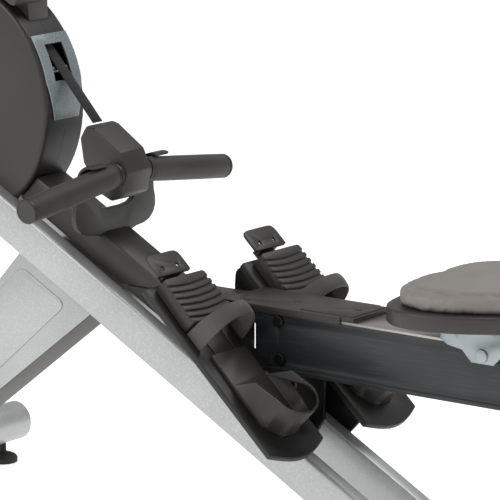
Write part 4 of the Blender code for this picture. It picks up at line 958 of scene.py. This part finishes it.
# ---------------------------------------------------------------- the seat
@dataclass
class Seat:
    """Moulded pad on its shell, over the sheet-metal carriage.

    The grooves' places and widths are shares of the distance from the pad's middle
    to its edge. The other lengths are metres.
    """

    voxel: float = 0.005
    pressure: float = 4.0
    frames: int = 20
    cap: float = 0.007
    before_swelling: tuple[float, float, float] = (0.975, 0.975, 0.93)
    groove_at: float = 0.88
    groove_depth: float = 0.0032
    groove_width: float = 0.016
    second_out: float = 0.07
    second_width: float = 0.012
    second_share: float = 0.4
    rim_drop: float = 0.0025
    rim_width: float = 0.010
    crown: float = 0.004
    sectors: int = 180

    def build(self) -> None:
        """Builds the pad and dresses the shell and the carriage."""
        self.pad()
        Refined("seat_base", "carriage", "dark_plastic", SEAT_SHELL, 0.0030, 3).build()
        Refined("seat_carriage", "carriage", "carriage_aluminium", ALUMINIUM, 0.0006).build()

    def pad(self) -> None:
        """The pad: swelled by cloth pressure, then its stepped groove is pressed in."""
        low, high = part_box("seat_pad")
        middle = (low + high) / 2
        obj = node_copy("seat_pad", "seat_cushion")
        shrink = Matrix.Diagonal((*self.before_swelling, 1.0))
        obj.data.transform(Matrix.Translation(middle) @ shrink @ Matrix.Translation(-middle))
        modify(obj, "REMESH", mode="VOXEL", voxel_size=self.voxel)
        rest = [v.co.copy() for v in obj.data.vertices]
        activate(obj)
        cloth = obj.modifiers.new("cloth", "CLOTH")
        cloth.settings.use_pressure = True
        cloth.settings.uniform_pressure_force = self.pressure
        cloth.settings.effector_weights.gravity = 0.0
        cloth.settings.quality = 5
        for frame in range(1, self.frames + 1):
            bpy.context.scene.frame_set(frame)
        bpy.ops.object.modifier_apply(modifier=cloth.name)
        bpy.context.scene.frame_set(1)
        for vertex, start in zip(obj.data.vertices, rest):
            move = vertex.co - start
            if move.length > self.cap:
                vertex.co = start + move.normalized() * self.cap
        modify(obj, "SUBSURF", levels=1, render_levels=1)
        self.press(obj, low, high)
        activate(obj)
        bpy.ops.object.shade_smooth()
        settle(obj, "carriage", SEAT_SKIN, ["seat_pad"])

    def press(self, obj: bpy.types.Object, low: Vector, high: Vector) -> None:
        """Presses the stepped groove into the pad's top and keeps it over its shell.

        Args:
            obj: the pad.
            low: the frame pad's lowest corner.
            high: its highest corner.
        """
        middle = (low + high) / 2
        bins = self.sectors
        reach = [0.0] * bins

        def sector(place: Vector) -> int:
            """The sector of the pad's plan that a point is in."""
            turn = math.atan2(place.y - middle.y, place.x - middle.x)
            return int((turn / math.tau + 0.5) * bins) % bins

        for vertex in obj.data.vertices:
            i = sector(vertex.co)
            reach[i] = max(reach[i], math.hypot(vertex.co.x - middle.x, vertex.co.y - middle.y))
        reach = [sum(reach[(i + k) % bins] for k in range(-3, 4)) / 7 for i in range(bins)]
        for vertex in obj.data.vertices:
            out = math.hypot(vertex.co.x - middle.x, vertex.co.y - middle.y)
            part = out / max(reach[sector(vertex.co)], 0.01)
            upper = min(max((vertex.co.z - middle.z) / (high.z - middle.z), 0.0), 1.0)
            past = part - self.groove_at
            dip = math.exp(-(past / self.groove_width) ** 2)
            second = self.second_share * math.exp(-((past - self.second_out) / self.second_width) ** 2)
            step = 1.0 / (1.0 + math.exp(-past / self.rim_width))
            vertex.co.z -= upper * (self.groove_depth * (dip + second) + self.rim_drop * step)
            vertex.co.z = min(max(vertex.co.z, low.z), high.z + self.crown)


# ---------------------------------------------------------------- the console
@dataclass
class Console:
    """Display case on its arm, with a blank window and three keys."""

    def build(self) -> None:
        """Builds and dresses the console's pieces."""
        Refined("console_arm", "frame", "dark_plastic", ABS, 0.0040, 4).build()
        Refined("console_case", "console", "dark_plastic", ABS, 0.0030, 3).build()
        Refined("console_screen", "console", "screen_glass", GLASS, 0.0008).build()


# ---------------------------------------------------------------- the fork that holds the handle
@dataclass
class Dock:
    """Fork on the beam's cover: a stem, a wide U and a hook over each grip."""

    plate_x: float = -0.3300
    plate_t: float = 0.009
    stem_half: float = 0.024
    grip_x: float = -0.303
    grip_z: float = 0.1574
    hook_in: float = 0.0212
    hook_out: float = 0.0262
    hook_y: tuple[float, float] = (0.057, 0.090)
    hook_turn: tuple[float, float] = (205.0, 72.0)
    hook_steps: int = 18
    half: tuple[tuple[float, float], ...] = (
        (0.024, 0.052), (0.0265, 0.0605), (0.033, 0.0665), (0.048, 0.0705), (0.066, 0.0725), (0.080, 0.0770),
        (0.090, 0.0860), (0.0950, 0.0975), (0.0945, 0.1100), (0.0915, 0.1220), (0.0905, 0.1400),
        (0.0905, 0.1560), (0.0565, 0.1560), (0.0520, 0.1440), (0.0490, 0.1320), (0.0465, 0.1215),
        (0.0405, 0.1145), (0.0310, 0.1100), (0.0160, 0.1080))

    def build(self) -> None:
        """Models the plate and the two hooks, and joins them."""
        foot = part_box("handle_dock")[0].z - DATUM.z
        ring = [(self.stem_half, foot), *self.half]
        ring += [(-y, z) for y, z in reversed(ring)]
        plate = prism("handle_fork", [at(self.plate_x - self.plate_t / 2, y, z) for y, z in ring],
                      Vector((self.plate_t, 0.0, 0.0)))
        soften(plate, 0.0022, 3, 50)
        for label, side in SIDES:
            hook = self.hook("fork_hook_" + label, side)
            combine(plate, hook, "UNION")
        soften(plate, 0.0)
        settle(plate, "frame", ABS, ["handle_dock"])

    def hook(self, name: str, side: int) -> bpy.types.Object:
        """One hook: a curved tongue round the back and the top of a grip.

        Args:
            name: its name.
            side: -1 for left, 1 for right.

        Returns:
            The hook, on its own.
        """
        first, last = self.hook_turn
        steps = self.hook_steps
        turns = [math.radians(first + (last - first) * i / steps) for i in range(steps + 1)]
        outline = [(self.hook_out, a) for a in turns] + [(self.hook_in, a) for a in reversed(turns)]
        near, far = self.hook_y
        points = [at(self.grip_x + r * math.cos(a), side * near, self.grip_z + r * math.sin(a))
                  for r, a in outline]
        hook = prism(name, points, Vector((0.0, side * (far - near), 0.0)), 4)
        return soften(hook, 0.0018, 3, 50)


# ---------------------------------------------------------------- surfaces left as they are
PLAIN_NODES: dict[str, Finish] = {
    "rail_bracket": DARK_STEEL, "pivot_bolt": DARK_STEEL, "stop_bolt": DARK_STEEL,
    "axle_bearing_left": STEEL, "axle_bearing_right": STEEL, "drive_belt": BELT, "magnet_yoke": DARK_STEEL,
    "transport_wheel_left": RUBBER, "transport_wheel_right": RUBBER, "flywheel": STEEL,
    "flywheel_axle": STEEL, "strap_drum": ABS_DARK_AND_RIM_SHADE, "strap_roller": STEEL, "seat_rollers_front": RUBBER,
    "seat_rollers_rear": RUBBER, "console_button_1": RUBBER, "console_button_2": RUBBER,
    "console_button_3": RUBBER,
}


def dress_plain_nodes(nodes: dict[str, bpy.types.Object]) -> None:
    """Gives the frame nodes that keep their own shape their finish.

    Args:
        nodes: the frame's nodes by name.
    """
    for name, finish in PLAIN_NODES.items():
        dress(nodes[name], finish)
        LOG.info("%s keeps its shape, in %s", name, finish.name)


# ---------------------------------------------------------------- the studio
@dataclass
class Studio:
    """Pale floor, soft light and the camera."""

    eye: tuple[float, float, float] = (2.8338, -4.2556, 1.5606)
    target: tuple[float, float, float] = (-0.3622, 0.0, 0.4716)
    lens: float = 267.4
    floor_size: float = 60.0
    floor_glow: float = 0.55
    air: float = 0.42
    softboxes: tuple[tuple[str, tuple[float, float, float], float, float], ...] = (
        ("key_softbox", (-2.2, -4.2, 3.4), 3.2, 120.0), ("top_softbox", (0.6, 1.8, 4.4), 3.0, 70.0))

    def build(self) -> None:
        """Builds the studio."""
        deselect_all()
        bpy.ops.mesh.primitive_plane_add(size=self.floor_size)
        floor = named("studio_floor")
        bpy.ops.object.mode_set(mode="EDIT")
        bpy.ops.mesh.subdivide(number_cuts=4)
        bpy.ops.object.mode_set(mode="OBJECT")
        dress(floor, Finish("pale_floor", "#fbfbfb", "#f8f8f8", "#fbfbfb", 0.7, grain_mm=4.0, relief_mm=0.01,
                            drift_mm=900, edge_highlight=0.0))
        self.camera()
        shader = floor.data.materials[0].node_tree.nodes["Principled BSDF"]
        shader.inputs["Emission Color"].default_value = WHITE
        shader.inputs["Emission Strength"].default_value = self.floor_glow
        for name, place, size, power in self.softboxes:
            self.light(name, place, size, power)
        world = bpy.data.worlds.new("studio_air")
        world.use_nodes = True
        air = world.node_tree.nodes["Background"]
        air.inputs["Color"].default_value = WHITE
        air.inputs["Strength"].default_value = self.air
        bpy.context.scene.world = world
        bpy.context.scene.view_settings.view_transform = "Standard"

    def camera(self) -> None:
        """A long lens at the side of the machine, a little above it."""
        data = bpy.data.cameras.new("camera")
        data.lens = self.lens
        data.sensor_width = 36.0
        camera = bpy.data.objects.new("camera", data)
        bpy.context.scene.collection.objects.link(camera)
        camera.location = self.eye
        line = Vector(self.target) - Vector(self.eye)
        camera.rotation_euler = line.to_track_quat("-Z", "Y").to_euler()
        bpy.context.scene.camera = camera

    def light(self, name: str, place: tuple[float, float, float], size: float, power: float) -> None:
        """A square softbox aimed at the machine.

        Args:
            name: its name.
            place: where it stands.
            size: its side in metres.
            power: its power in watts.
        """
        data = bpy.data.lights.new(name, "AREA")
        data.size = size
        data.energy = power
        lamp = bpy.data.objects.new(name, data)
        bpy.context.scene.collection.objects.link(lamp)
        lamp.location = place
        line = Vector(self.target) - Vector(place)
        lamp.rotation_euler = line.to_track_quat("-Z", "Y").to_euler()


def main() -> None:
    """Builds the machine's looks in order."""
    logging.basicConfig(level=logging.INFO, format="%(name)s: %(message)s")
    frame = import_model()
    Studio().build()
    dress_plain_nodes(frame["nodes"])
    Beam().build()
    Housing(HOUSING_CENTRE).build()
    Dock().build()
    Handle().build()
    Rail().build()
    Pedals().build()
    Seat().build()
    Console().build()


if __name__ == "__main__":
    main()
